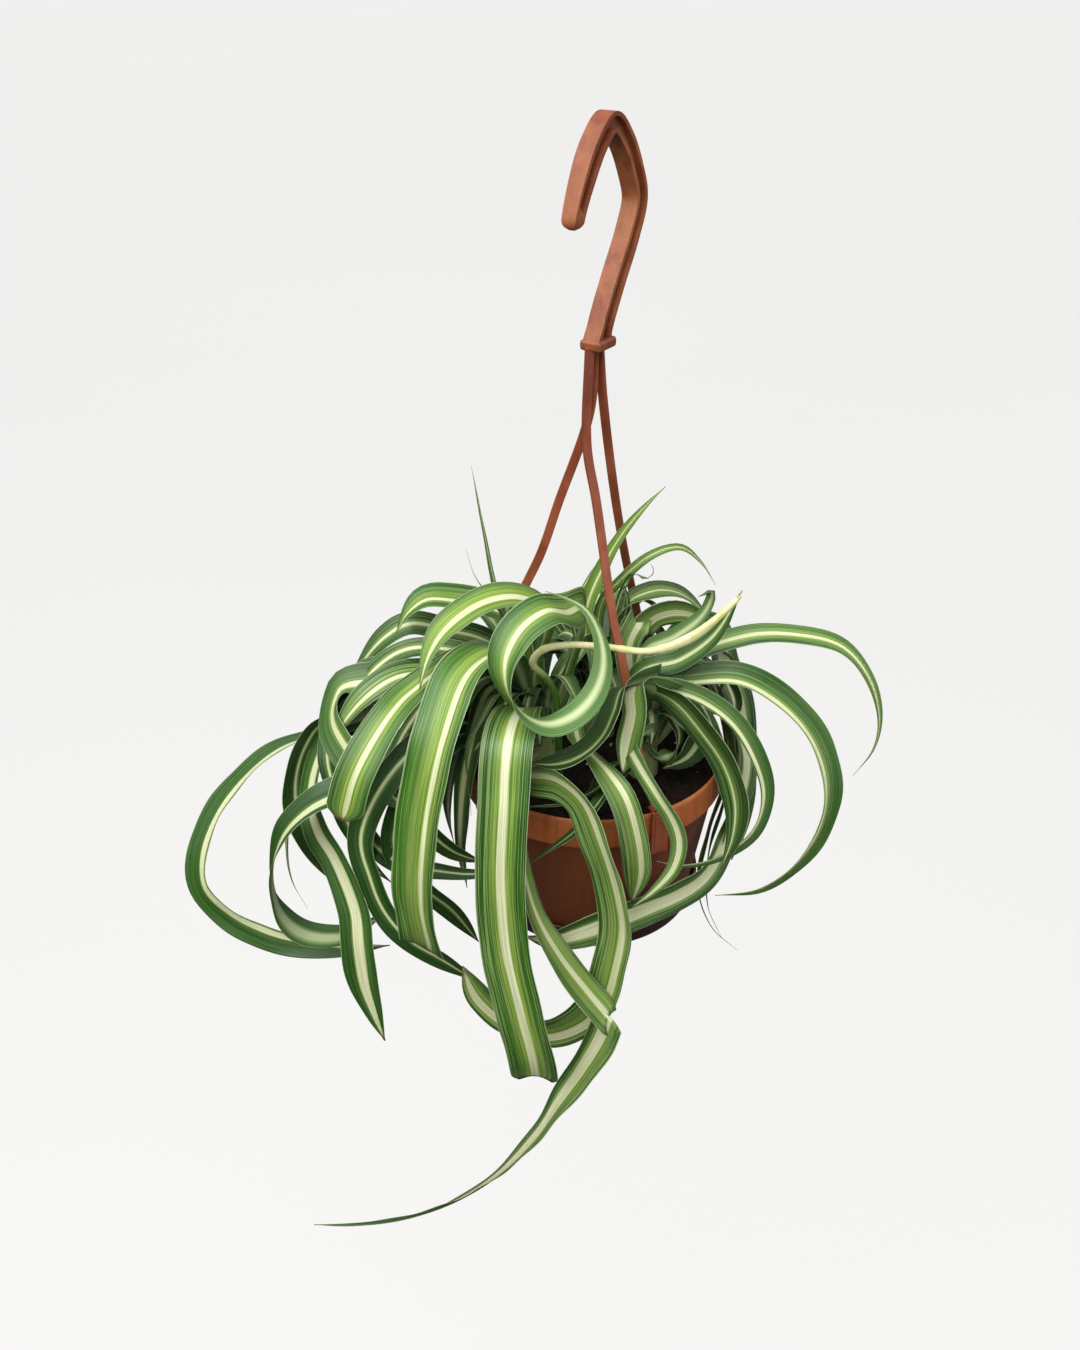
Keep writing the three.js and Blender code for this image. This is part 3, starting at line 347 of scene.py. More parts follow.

# How single leaves are marked: half width of the cream band, its place across the blade, how far the
# lime streaks reach on its two sides, how much painted shade darkens the margins of leaves that lie in
# shade, and how many lines they carry
MARKINGS = {
    "front_left_broad": (0.06, 0.66, 0.36, 0.13, 0.1, 0.5),
    "front_left_short": (0.07, 0.5, 0.24, 0.18, 0.1, 0.3),
    "front_broad": (0.085, 0.5, 0.16, 0.2, 0.15, 0.6),
    "ring": (0.07, 0.52, 0.22, 0.14, 0.15, 0.5),
    # over_left has no painted shade and wider lime streaks: painted light that brightens a leaf lying
    # in shade
    "over_left": (0.1, 0.5, 0.35, 0.35, 0.0, 0.5),
    "top_left": (0.06, 0.6, 0.3, 0.12, 0.1, 0.3),
    "left_hump": (0.06, 0.5, 0.12, 0.1, 0.7, 0.8),
    "left_nested": (0.07, 0.45, 0.1, 0.1, 0.6, 0.9),
    "left_striped": (0.08, 0.6, 0.15, 0.1, 0.25, 1.0),
    "left_wrap": (0.1, 0.6, 0.1, 0.1, 0.3, 0.5),
    "left_edge": (0.05, 0.5, 0.06, 0.06, 0.8, 0.6),
    "left_side": (0.05, 0.4, 0.06, 0.06, 0.8, 0.6),
    "left_behind": (0.05, 0.6, 0.06, 0.06, 0.75, 0.4),
    "left_tucked": (0.05, 0.5, 0.06, 0.06, 0.8, 0.4),
    "left_tucked_upper": (0.05, 0.5, 0.06, 0.06, 0.8, 0.4),
    "left_inner": (0.05, 0.5, 0.06, 0.06, 0.85, 0.4),
    "left_sweep": (0.06, 0.5, 0.06, 0.06, 0.8, 0.4),
    "left_hanging": (0.16, 0.5, 0.04, 0.04, 0.5, 0.4),
    "left_loop_big": (0.13, 0.78, 0.05, 0.05, 0.5, 0.4),
    "left_loop_small": (0.12, 0.66, 0.04, 0.04, 0.7, 0.4),
    "front_arch": (0.11, 0.68, 0.3, 0.12, 0.3, 1.0),
    "front_fan": (0.1, 0.66, 0.3, 0.1, 0.35, 1.0),
    "front_kinked": (0.08, 0.62, 0.3, 0.25, 0.3, 1.0),
    "front_kinked_end": (0.16, 0.4, 0.08, 0.2, 0.45, 1.0),
    "front_cross": (0.08, 0.5, 0.06, 0.06, 0.8, 0.8),
    "front_cross_dark": (0.03, 0.5, 0.05, 0.05, 0.7, 0.3),
    "right_front": (0.17, 0.34, 0.04, 0.2, 0.25, 0.8),
    "right_under": (0.2, 0.5, 0.05, 0.1, 0.45, 0.7),
    "right_long": (0.08, 0.5, 0.2, 0.2, 0.2, 0.6),
    "right_hoop": (0.07, 0.15, 0.06, 0.12, 0.25, 0.8),
    "right_hoop_thin": (0.1, 0.2, 0.05, 0.1, 0.25, 0.6),
    "dark_hollow": (0.05, 0.6, 0.1, 0.1, 0.95, 0.7),
    "right_dark": (0.03, 0.4, 0.08, 0.08, 0.8, 1.0),
    "right_dark_broad": (0.1, 0.5, 0.05, 0.05, 0.9, 0.6),
    "right_coil": (0.1, 0.5, 0.1, 0.1, 0.7, 0.6),
    "right_rim": (0.16, 0.5, 0.1, 0.1, 0.3, 0.8),
    "right_curtain": (0.2, 0.5, 0.1, 0.1, 0.75, 1.0),
    "right_curtain_inner": (0.2, 0.5, 0.1, 0.1, 0.8, 1.0),
    "right_saddle": (0.12, 0.4, 0.1, 0.2, 0.35, 1.0),
    "upright_blade": (0.02, 0.5, 0.05, 0.05, 0.5, 0.4),
    "upright_broad": (0.06, 0.5, 0.4, 0.4, 0.0, 0.5),
    "upright_arc": (0.05, 0.5, 0.3, 0.3, 0.1, 0.5),
}

# How much painted shade darkens the margins of inner leaves, and the limits of what the other leaves
# draw, whose fifth value is painted shade too
INNER_SHADE = 0.85
CHANCE_MARKINGS = ((0.04, 0.13), (0.3, 0.7), (0.05, 0.22), (0.05, 0.22), (0.3, 0.9), (0.5, 1.0))


def smooth_route(points, samples=400):
    """Points and directions at even distances along a centripetal curve through the points."""
    points = [Vector(point) for point in points]
    points = [2 * points[0] - points[1], *points, 2 * points[-1] - points[-2]]
    spans = len(points) - 3

    def place(t):
        span = min(int(t * spans), spans - 1)
        a, b, c, d = points[span:span + 4]
        first, middle, last = (max((q - p).length_squared ** 0.25, 1e-4)
                               for p, q in ((a, b), (b, c), (c, d)))
        leaving = ((b - a) / first - (c - a) / (first + middle) + (c - b) / middle) * middle
        arriving = ((c - b) / middle - (d - b) / (middle + last) + (d - c) / last) * middle
        s = t * spans - span
        return (b * (2 * s ** 3 - 3 * s ** 2 + 1) + leaving * (s ** 3 - 2 * s ** 2 + s)
                + c * (3 * s ** 2 - 2 * s ** 3) + arriving * (s ** 3 - s ** 2))

    way = [place(i / samples) for i in range(samples + 1)]
    reached = [0.0]
    for before, after in zip(way, way[1:]):
        reached.append(reached[-1] + (after - before).length)

    def at(share):
        wanted = share * reached[-1]
        low, high = 0, samples
        while high - low > 1:
            middle = (low + high) // 2
            low, high = (middle, high) if reached[middle] <= wanted else (low, middle)
        part = (wanted - reached[low]) / max(reached[high] - reached[low], 1e-9)
        t = (low + part) / samples
        nudge = 1e-4
        forward = place(min(t + nudge, 1)) - place(max(t - nudge, 0))
        return place(t), forward.normalized()

    return at, reached[-1]


def along(points, count):
    """Points at even distances along the curve through the given ones."""
    at, _ = smooth_route(points)
    return [at(i / count)[0] for i in range(count + 1)]


def smoothstep(value, low, high):
    share = min(max((value - low) / (high - low), 0), 1)
    return share * share * (3 - 2 * share)


def mixed(low, high, share):
    return low + (high - low) * share


def tube(bm, rows, around, place):
    """A strip whose rings of points are joined all round and closed at both ends.

    place(row, k) gives the point k of a ring, its place on the pattern's map, across and along
    the strip, and the values that it carries."""
    grid = bmesh.ops.create_grid(bm, x_segments=around, y_segments=rows, size=1)["verts"]
    uv = bm.loops.layers.uv["leaf"] if "leaf" in bm.loops.layers.uv else None
    layers = {name: bm.verts.layers.float[name] for name in bm.verts.layers.float.keys()}
    laid = {}
    for vert in grid:
        row = round((vert.co.y + 1) / 2 * rows)
        k = round((vert.co.x + 1) / 2 * around)
        point, u, v, values = place(row, k)
        laid[vert] = (u, v)
        vert.co = point
        for name, value in values.items():
            vert[layers[name]] = value
    faces = {face for vert in grid for face in vert.link_faces}
    if uv:
        for face in faces:
            for loop in face.loops:
                loop[uv].uv = laid[loop.vert]
    bmesh.ops.remove_doubles(bm, verts=grid, dist=2e-6)
    kept = [vert for vert in grid if vert.is_valid]
    rims = {edge for vert in kept for edge in vert.link_edges if edge.is_boundary}
    bmesh.ops.holes_fill(bm, edges=list(rims), sides=0)


def swept(bm, steps, section, frame_at):
    """A closed bar: section(share) is a ring of (out, side) offsets, frame_at(share) its place."""
    count = len(section(0))

    def place(row, k):
        share = row / steps
        centre, out, side = frame_at(share)
        u, v = section(share)[k % count]
        return centre + out * u + side * v, 0, 0, {}

    tube(bm, steps, count, place)


def lathe(bm, profile, steps=ROUND):
    """Spins a profile of (radius, height) in millimetres round the pot's axis."""
    points = [RIM_CENTRE + Vector((radius, 0, height)) * MM for radius, height in profile]
    verts = [bm.verts.new(point) for point in points]
    edges = [bm.edges.new(pair) for pair in zip(verts, verts[1:])]
    bmesh.ops.spin(bm, geom=verts + edges, cent=RIM_CENTRE, axis=(0, 0, 1),
                   angle=math.tau, steps=steps, use_merge=True, use_duplicate=False)
    bmesh.ops.remove_doubles(bm, verts=bm.verts, dist=1e-6)
    bmesh.ops.recalc_face_normals(bm, faces=bm.faces)
    bm.verts.index_update()
    most = 4 * len(bm.verts)

    def order(face):
        corners = [vert.index for vert in face.verts]
        return max(corners) * most + sum(corners)

    # A spin makes its faces in an order that changes from run to run
    bm.faces.sort(key=order)


def rounded(points, radius):
    """A profile with its corners rounded off, all but the two ends."""
    result = [points[0]]
    for before, corner, after in zip(points, points[1:], points[2:]):
        corner = Vector(corner)
        to_before, to_after = Vector(before) - corner, Vector(after) - corner
        cut = min(radius, to_before.length * 0.45, to_after.length * 0.45)
        start, end = corner + to_before.normalized() * cut, corner + to_after.normalized() * cut
        for i in range(CORNER_STEPS + 1):
            t = i / CORNER_STEPS
            result.append(tuple(start * (1 - t) ** 2 + corner * 2 * t * (1 - t) + end * t ** 2))
    return [*result, points[-1]]


# What every point of a leaf carries for its pattern: the share of the length, whether it lies on the
# underside, a random tone that shifts the pattern from leaf to leaf, and the marks, among them the
# painted shade of leaves that lie in shade
LEAF_VALUES = ("share", "under", "tone", "band", "middle", "left", "right", "dark", "lines")
TONE_SPREAD = 61.0


def new_mesh():
    """An empty mesh under construction that carries the leaf pattern's map and values."""
    bm = bmesh.new()
    bm.loops.layers.uv.new("leaf")
    for name in LEAF_VALUES:
        bm.verts.layers.float.new(name)
    return bm


def finished(bm, name, material, node, smooth=True):
    """Turns the mesh under construction into a named piece that rides with the pot."""
    mesh = bpy.data.meshes.new(name)
    bmesh.ops.recalc_face_normals(bm, faces=bm.faces)
    for face in bm.faces:
        face.smooth = smooth
    bm.to_mesh(mesh)
    bm.free()
    piece = bpy.data.objects.new(name, mesh)
    bpy.context.scene.collection.objects.link(piece)
    mesh.materials.append(material)
    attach(piece, "root")
    if node:
        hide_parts(node)
    return piece


def srgb(red, green, blue):
    """A colour given as on a screen, from 0 to 255, as the shader's numbers."""
    return tuple((value / 255 / 12.92) if value <= 10 else ((value / 255 + 0.055) / 1.055) ** 2.4
                 for value in (red, green, blue)) + (1,)


class Finish:
    """One material and short ways to add nodes to it."""

    def __init__(self, name):
        self.material = bpy.data.materials.new(name)
        self.material.use_nodes = True
        self.tree = self.material.node_tree
        self.shader = self.tree.nodes["Principled BSDF"]

    def node(self, kind, inputs=None, **settings):
        node = self.tree.nodes.new(kind)
        for name, value in settings.items():
            setattr(node, name, value)
        for name, value in (inputs or {}).items():
            self.put(node.inputs[name], value)
        return node

    def put(self, socket, value):
        if isinstance(value, bpy.types.NodeSocket):
            self.tree.links.new(value, socket)
        else:
            socket.default_value = value

    def math(self, operation, first, second=0.0):
        node = self.node("ShaderNodeMath", operation=operation)
        self.put(node.inputs[0], first)
        self.put(node.inputs[1], second)
        return node.outputs[0]

    def plus(self, first, second):
        return self.math("ADD", first, second)

    def minus(self, first, second):
        return self.math("SUBTRACT", first, second)

    def times(self, first, second):
        return self.math("MULTIPLY", first, second)

    def vector(self, x=0.0, y=0.0, z=0.0):
        return self.node("ShaderNodeCombineXYZ", {"X": x, "Y": y, "Z": z}).outputs[0]

    def noise(self, vector, scale=1.0, detail=2.0, roughness=0.5):
        return self.node("ShaderNodeTexNoise", {
            "Vector": vector, "Scale": scale, "Detail": detail, "Roughness": roughness,
        }).outputs["Fac"]

    def ramp(self, value, low, high, start=0.0, end=1.0):
        """The value's place between low and high, eased at both ends."""
        return self.node("ShaderNodeMapRange", {
            "Value": value, "From Min": low, "From Max": high, "To Min": start, "To Max": end,
        }, interpolation_type="SMOOTHSTEP").outputs[0]

    def mix(self, share, first, second):
        node = self.node("ShaderNodeMix", data_type="RGBA")
        self.put(node.inputs["Factor"], share)
        self.put(node.inputs[6], first)
        self.put(node.inputs[7], second)
        return node.outputs[2]

    def layers(self, color, *over):
        """Colours laid over each other, each by its share."""
        for share, upper in over:
            color = self.mix(share, color, upper)
        return color

    def attribute(self, name):
        return self.node("ShaderNodeAttribute", attribute_name=name).outputs["Fac"]

    def bump(self, height, distance, strength=1.0):
        bump = self.node("ShaderNodeBump", {
            "Height": height, "Distance": distance, "Strength": strength})
        self.tree.links.new(bump.outputs[0], self.shader.inputs["Normal"])

    def position(self):
        return self.node("ShaderNodeTexCoord").outputs["Object"]

    def stretched(self, x, y, z):
        """The object's own coordinates, scaled by axis."""
        return self.node("ShaderNodeMapping", {
            "Vector": self.position(), "Scale": (x, y, z)}).outputs[0]

    def below(self, level, ease, most=1.0):
        """Nothing above a height in metres, and most under it, eased over a little way."""
        height = self.node("ShaderNodeSeparateXYZ", {"Vector": self.position()}).outputs[2]
        return self.ramp(self.minus(height, level), ease, -ease, 0.0, most)

    def set(self, **sockets):
        for name, value in sockets.items():
            self.put(self.shader.inputs[name.replace("_", " ")], value)


def leaf_finish(settings):
    """Striped blade: green margins with fine lines, lime streaks and an off-centre cream band,
    darkened by painted shade where the leaf lies in shade.
    """
    f = Finish("variegated_leaf")
    place = f.node("ShaderNodeSeparateXYZ", {
        "Vector": f.node("ShaderNodeUVMap", uv_map="leaf").outputs[0]})
    across, down = place.outputs[0], place.outputs[1]
    values = {name: f.attribute(name) for name in LEAF_VALUES}
    kind = f.times(values["tone"], TONE_SPREAD)

    def streaks(fineness, length, shift, detail=2.0):
        """Noise drawn out along the blade: fineness lines across it, length changes along it."""
        x = f.times(across, fineness)
        y = f.times(down, length)
        return f.noise(f.vector(x, y, f.plus(kind, shift)), 1.0, detail, 0.6)

    def scattered(noise, amount):
        return f.times(f.minus(noise, 0.5), amount)

    fine = streaks(44.0, 0.9, 0.0)
    hair = streaks(120.0, 2.0, 7.0, 1.0)
    broad = streaks(9.0, 0.6, 13.0)
    drift = f.noise(f.vector(0.0, f.times(down, 1.5), kind))
    offset = f.minus(across, f.plus(values["middle"], scattered(drift, 0.07)))
    beyond = f.minus(f.math("ABSOLUTE", offset), values["band"])
    right_side = f.math("GREATER_THAN", offset, 0.0)
    wider = f.times(f.minus(values["right"], values["left"]), right_side)
    reach = f.math("DIVIDE", beyond, f.plus(values["left"], wider))
    cream = f.ramp(f.plus(beyond, scattered(fine, 0.1)), 0.012, -0.012)
    lime = f.ramp(f.plus(reach, scattered(fine, 3.2)), 1.05, 0.55)
    # dark is painted shade: it darkens the margins, their lines, the lime streaks, the cream band and
    # the underside of leaves that lie in shade
    dark, under, share = values["dark"], values["under"], values["share"]
    near = f.ramp(reach, 4.2, 1.4, 0.35, 1.0)
    lined = f.times(f.times(f.ramp(fine, 0.51, 0.56), values["lines"]), near)
    streaked = f.layers(
        settings.lime,
        (f.ramp(hair, 0.35, 0.65), settings.lime_light),
        (f.ramp(fine, 0.5, 0.42, 0.0, 0.85), settings.lime_deep),
        (f.times(dark, 0.8), settings.line_in_shade))
    creamy = f.layers(
        settings.cream,
        (f.ramp(hair, 0.35, 0.65), settings.cream_light),
        (f.ramp(fine, 0.42, 0.3, 0.0, 0.5), settings.lime_light),
        (f.ramp(dark, 0.5, 1.0, 0.0, 0.5), settings.line))
    pale = f.ramp(f.plus(beyond, scattered(fine, 0.12)), 0.16, 0.0)
    backing = f.layers(
        settings.under_margin,
        (f.times(pale, 0.9), settings.under_band),
        (f.times(lined, 0.35), settings.under_band),
        (f.times(dark, 0.35), settings.margin_shade_and_streaks))
    from_edge = f.math("MINIMUM", across, f.minus(1.0, across))
    dry = f.ramp(f.plus(share, scattered(fine, 0.03)), 0.975, 0.99)
    blade = f.layers(
        settings.margin_dark,
        (f.ramp(broad, 0.35, 0.65), settings.margin_light),
        # Painted shade: the dark mark turns the margins and their pale lines toward the shaded greens
        (f.times(dark, 0.85), settings.margin_shade_and_streaks),
        (f.times(lined, 0.9), f.mix(dark, settings.line, settings.line_in_shade)),
        (f.times(lime, 0.92), streaked),
        (f.times(cream, 0.95), creamy),
        (f.ramp(from_edge, 0.02, 0.006, 0.0, 0.8), settings.edge),
        (f.ramp(hair, 0.62, 0.3, 0.0, 0.2), settings.margin_shade_and_streaks),
        (f.times(under, 0.75), backing),
        (f.ramp(share, 0.14, 0.02, 0.0, 0.6), settings.root),
        (f.times(dry, 0.85), settings.dry_tip))
    f.set(Base_Color=blade, Specular_IOR_Level=0.38, Coat_Weight=0.12, Coat_Roughness=0.2)
    rough = f.plus(f.ramp(hair, 0.2, 0.8, 0.3, 0.44), f.times(under, 0.16))
    f.set(Roughness=rough)
    ribs = f.plus(f.times(fine, 0.7), f.times(hair, 0.5))
    f.bump(ribs, 0.0005, 0.5)
    return f.material


def runner_finish(settings):
    """Cream stem with a green tinge and fine lengthwise lines."""
    f = Finish("cream_runner")
    patches = f.noise(f.position(), 90.0, 3.0)
    lines = f.noise(f.stretched(900, 900, 60), 1.0, 2.0)
    color = f.layers(
        settings.runner,
        (f.ramp(patches, 0.35, 0.7), settings.runner_tinge),
        (f.below(settings.runner_green, 0.008), settings.lime_deep),
        (f.ramp(lines, 0.5, 0.75, 0.0, 0.3), settings.lime_light))
    f.set(Base_Color=color, Roughness=0.42, Coat_Weight=0.1)
    f.bump(lines, 0.0003, 0.4)
    return f.material


def moulded_finish(name, colors, streak_length, roughness, level=None, shade_color=None):
    """Moulded plastic: cloudy patches, faint vertical streaks, specks and a fine orange peel.

    The colours are the main, the worn and the dark one. Below a level, in metres, the colour turns
    into the shaded one, with the dark one in cloudy patches over it: painted shade."""
    f = Finish(name)
    color, worn, dark = colors
    clouds = f.noise(f.position(), 26.0, 4.0, 0.6)
    streaks = f.noise(f.stretched(190, 190, streak_length), 1.0, 3.0)
    specks = f.noise(f.position(), 1500.0, 2.0)
    body = f.layers(
        color,
        (f.ramp(clouds, 0.35, 0.68), worn),
        (f.ramp(streaks, 0.45, 0.75, 0.0, 0.45), dark),
        (f.ramp(specks, 0.62, 0.74, 0.0, 0.35), worn))
    if level is not None:
        # Painted shade: below the level the colour turns to the darker shaded one, mixed with the dark
        # colour in cloudy patches
        body = f.mix(f.below(level, 0.001, 0.8), body, f.mix(f.ramp(clouds, 0.3, 0.7), shade_color, dark))
    rough = f.plus(f.times(clouds, 0.22), roughness - 0.1)
    f.set(Base_Color=body, Roughness=rough, Specular_IOR_Level=0.5)
    f.bump(f.plus(specks, f.times(streaks, 0.5)), 0.00025, 0.5)
    return f.material


def soil_finish(settings):
    """Dark damp potting mix with brown fibres."""
    f = Finish("potting_mix")
    lumps = f.noise(f.position(), 240.0, 6.0, 0.7)
    fibres = f.noise(f.stretched(1400, 300, 700), 1.0, 3.0)
    color = f.layers(
        settings.soil,
        (f.ramp(lumps, 0.4, 0.7), settings.soil_brown),
        (f.ramp(fibres, 0.64, 0.74, 0.0, 0.6), settings.soil_fibre))
    f.set(Base_Color=color, Roughness=0.9, Specular_IOR_Level=0.25)
    f.bump(lumps, 0.002, 0.8)
    return f.material


def grit_finish():
    """Pale volcanic grit with a rough face."""
    f = Finish("pale_grit")
    pores = f.noise(f.position(), 1800.0, 3.0)
    f.set(Base_Color=f.mix(f.ramp(pores, 0.3, 0.7), srgb(150, 140, 126), srgb(206, 200, 188)),
          Roughness=0.85)
    f.bump(pores, 0.0004, 0.7)
    return f.material


def floor_finish(settings):
    """Plain pale paint with the faintest cloudiness, evened out by a little light of its own."""
    f = Finish("pale_floor")
    clouds = f.noise(f.position(), 0.5, 3.0)
    color = f.mix(f.ramp(clouds, 0.3, 0.7), settings.floor, settings.floor_shade)
    f.set(Base_Color=color, Roughness=0.9, Specular_IOR_Level=0.1,
          Emission_Color=(1, 0.997, 0.992, 1), Emission_Strength=settings.floor_glow)
    return f.material


def color_of(name, red, green, blue, description):
    return FloatVectorProperty(name=name, description=description, subtype="COLOR", size=4,
                               min=0, max=1, default=srgb(red, green, blue))


class SpiderPlantLeaves(PropertyGroup):
    """Sizes and colours of the leaves and the runner."""

    row_step: FloatProperty(
        name="Row Step", description="Distance between rows of a blade, in millimetres",
        default=3.4, min=1, max=10)
    columns: IntProperty(
        name="Columns", description="Faces across one side of a blade", default=12, min=4, max=24)
    blade_thickness: FloatProperty(
        name="Blade Thickness", description="Thickness of a blade at its middle, in millimetres",
        default=0.55, min=0.2, max=1.2)
    ruffle: FloatProperty(
        name="Ruffle", description="Wave of a blade's edges, in millimetres",
        default=0.5, min=0, max=2)
    margin_dark: color_of("Dark Margin", 30, 74, 12, "Deep green of the blade's margins")
    margin_light: color_of("Light Margin", 56, 110, 22, "Fresh green of the blade's margins")
    # Painted shade for leaves that lie in shade; also the colour of the fine dark hair streaks
    margin_shade_and_streaks: color_of("Shaded Margin", 16, 46, 16, "Blue green of the darkest leaves")
    line: color_of("Margin Lines", 168, 192, 118, "Fine pale lines in the margins")
    # Painted shade: the pale margin lines of leaves that lie in shade
    line_in_shade: color_of("Dark Lines", 92, 122, 66, "Fine lines of the darkest leaves")
    lime: color_of("Lime Streaks", 116, 152, 44, "Yellow green beside the cream band")
    lime_light: color_of("Light Lime", 160, 182, 84, "Lightest yellow green streaks")
    lime_deep: color_of("Deep Lime", 66, 114, 30, "Grass green lines among the lime streaks")
    cream: color_of("Cream", 204, 208, 156, "Cream of the middle band")
    cream_light: color_of("Light Cream", 228, 231, 196, "Lightest lines of the middle band")
    edge: color_of("Edge", 196, 212, 168, "Hair line along the blade's edge")
    under_margin: color_of("Underside", 70, 112, 48, "Duller green of the underside")
    under_band: color_of("Underside Band", 184, 200, 148, "Pale band of the underside")
    root: color_of("Root", 196, 208, 140, "Pale foot of the blade")
    dry_tip: color_of("Dry Tip", 122, 104, 78, "Grey brown of the dried tips")
    runner: color_of("Runner", 228, 222, 174, "Cream of the runner")
    runner_tinge: color_of("Runner Tinge", 204, 206, 134, "Green tinge of the runner")
    runner_green: FloatProperty(
        name="Runner Green Height", description="The runner is green below this height",
        default=-0.25, subtype="DISTANCE", unit="LENGTH")


class SpiderPlantPot(PropertyGroup):
    """Sizes and colours of the pot, its saucer, the soil and the hanger."""

    # The pot's own orange brown, raised a little toward the highlight on its lip: partly painted
    # highlight
    rim_color: color_of("Pot", 176, 96, 50, "Orange brown of the pot")
    rim_worn: color_of("Pot, Worn", 196, 116, 66, "Lighter patches of the pot")
    pot_dark: color_of("Pot, Dark", 98, 44, 24, "Darker streaks of the pot")
    # Painted shade: the same plastic as the rim, darker below it where the foliage shades the pot
    body_shade_color: color_of("Pot Body", 104, 50, 26, "Deeper brown of the pot below its rim")
    saucer_color: color_of("Saucer", 44, 22, 19, "Dark brown of the saucer")
    saucer_worn: color_of("Saucer, Worn", 78, 42, 34, "Lighter patches of the saucer")
    saucer_dark: color_of("Saucer, Dark", 34, 17, 15, "Darker streaks of the saucer")
    hook_color: color_of("Hook", 126, 63, 32, "Terracotta of the hook")
    hook_worn: color_of("Hook, Worn", 160, 94, 56, "Lighter specks of the hook")
    hook_dark: color_of("Hook, Dark", 84, 38, 22, "Darker streaks of the hook")
    strap_color: color_of("Strap", 128, 62, 36, "Orange brown of the straps")
    strap_worn: color_of("Strap, Worn", 156, 84, 54, "Lighter streaks of the straps")
    strap_dark: color_of("Strap, Dark", 96, 44, 28, "Darker streaks of the straps")
    soil: color_of("Soil", 22, 17, 14, "Nearly black potting mix")
    soil_brown: color_of("Soil Lumps", 48, 34, 26, "Brown lumps of the potting mix")
    soil_fibre: color_of("Soil Fibres", 96, 72, 50, "Fibres of the potting mix")
    crumbs: IntProperty(
        name="Crumbs", description="Loose crumbs on the soil", default=420, min=0, max=2000)
    edge_round: FloatProperty(
        name="Edge Rounding", description="Radius of the moulded edges", default=0.0005,
        min=0.0001, max=0.002, subtype="DISTANCE", unit="LENGTH")


class SpiderPlantStage(PropertyGroup):
    """Floor, light and camera."""

    floor: color_of("Floor", 134, 133, 132, "Pale floor")
    floor_shade: color_of("Floor Shade", 131, 130, 129, "Faint clouds of the floor")
    floor_glow: FloatProperty(
        name="Floor Glow", description="Light that the floor gives of its own", default=0.64, min=0)
    floor_drop: FloatProperty(
        name="Floor Drop", description="How far the floor lies below the longest leaf",
        default=0.7, min=0.01, max=5, subtype="DISTANCE", unit="LENGTH")
    key_power: FloatProperty(
        name="Key Light", description="Power of the large light, in watts", default=24, min=0)
    fill_power: FloatProperty(
        name="Fill Light", description="Power of the fill light, in watts", default=6, min=0)
    daylight: FloatProperty(
        name="Daylight", description="Strength of the broad light from above", default=1.45, min=0)
    sky: FloatProperty(
        name="Sky", description="Strength of the even light from above", default=0.5, min=0)
    under_light: FloatProperty(
        name="Under Light", description="Strength of the light from below", default=0.07, min=0)


def blade_share(share, hold, opened):
    """Width of a blade along its length: narrow at the root, full from the share opened to the
    share hold, then pointed."""
    opening = smoothstep(share, 0, opened) if opened else 1
    closing = max(0, (share - hold) / (1 - hold)) if hold < 1 else 0
    return max(BLADE_TIP, mixed(BLADE_ROOT, 1, opening) * (1 - closing ** BLADE_POINT))


def rooted(crown, route):
    """The route from its root, on the side of the crown that the leaf leaves by."""
    x, y = CROWNS[crown]
    out = Vector((route[0][0] - x, route[0][1] - y)).normalized() * ROOT_OUT
    return [[x + out.x, y + out.y, ROOT_LOW + ROOT_SHARE * route[0][2]], *route]


def draws(seed):
    """Repeatable draws between two values, by the Park-Miller generator."""
    multiplier, modulus = 48271, 2147483647
    state = seed

    def draw(low, high):
        nonlocal state
        state = state * multiplier % modulus
        return low + (high - low) * state / modulus

    return draw


def filler_leaves(crown, seed, count, start, end, reach, rise, drop):
    """Arching leaves spread over a sector of directions."""
    x, y = CROWNS[crown]
    draw = draws(seed)
    for i in range(count):
        angle = math.radians(start + (end - start) * (i * GOLDEN % 1) + draw(*FILLER_JITTER))
        bend = math.radians(draw(*FILLER_BEND))
        span, top, fall = draw(*reach), draw(*rise), draw(*drop)
        width = draw(*FILLER_WIDTH)
        rolls = draw(*FILLER_ROOT_ROLL), draw(*FILLER_TIP_ROLL)
        route = [[x + span * out * math.cos(angle + bend * out),
                  y + span * out * math.sin(angle + bend * out), top * up - fall * down]
                 for out, up, down in ARCH]
        yield ["filler", width, *rolls, FILLER_HOLD, route]


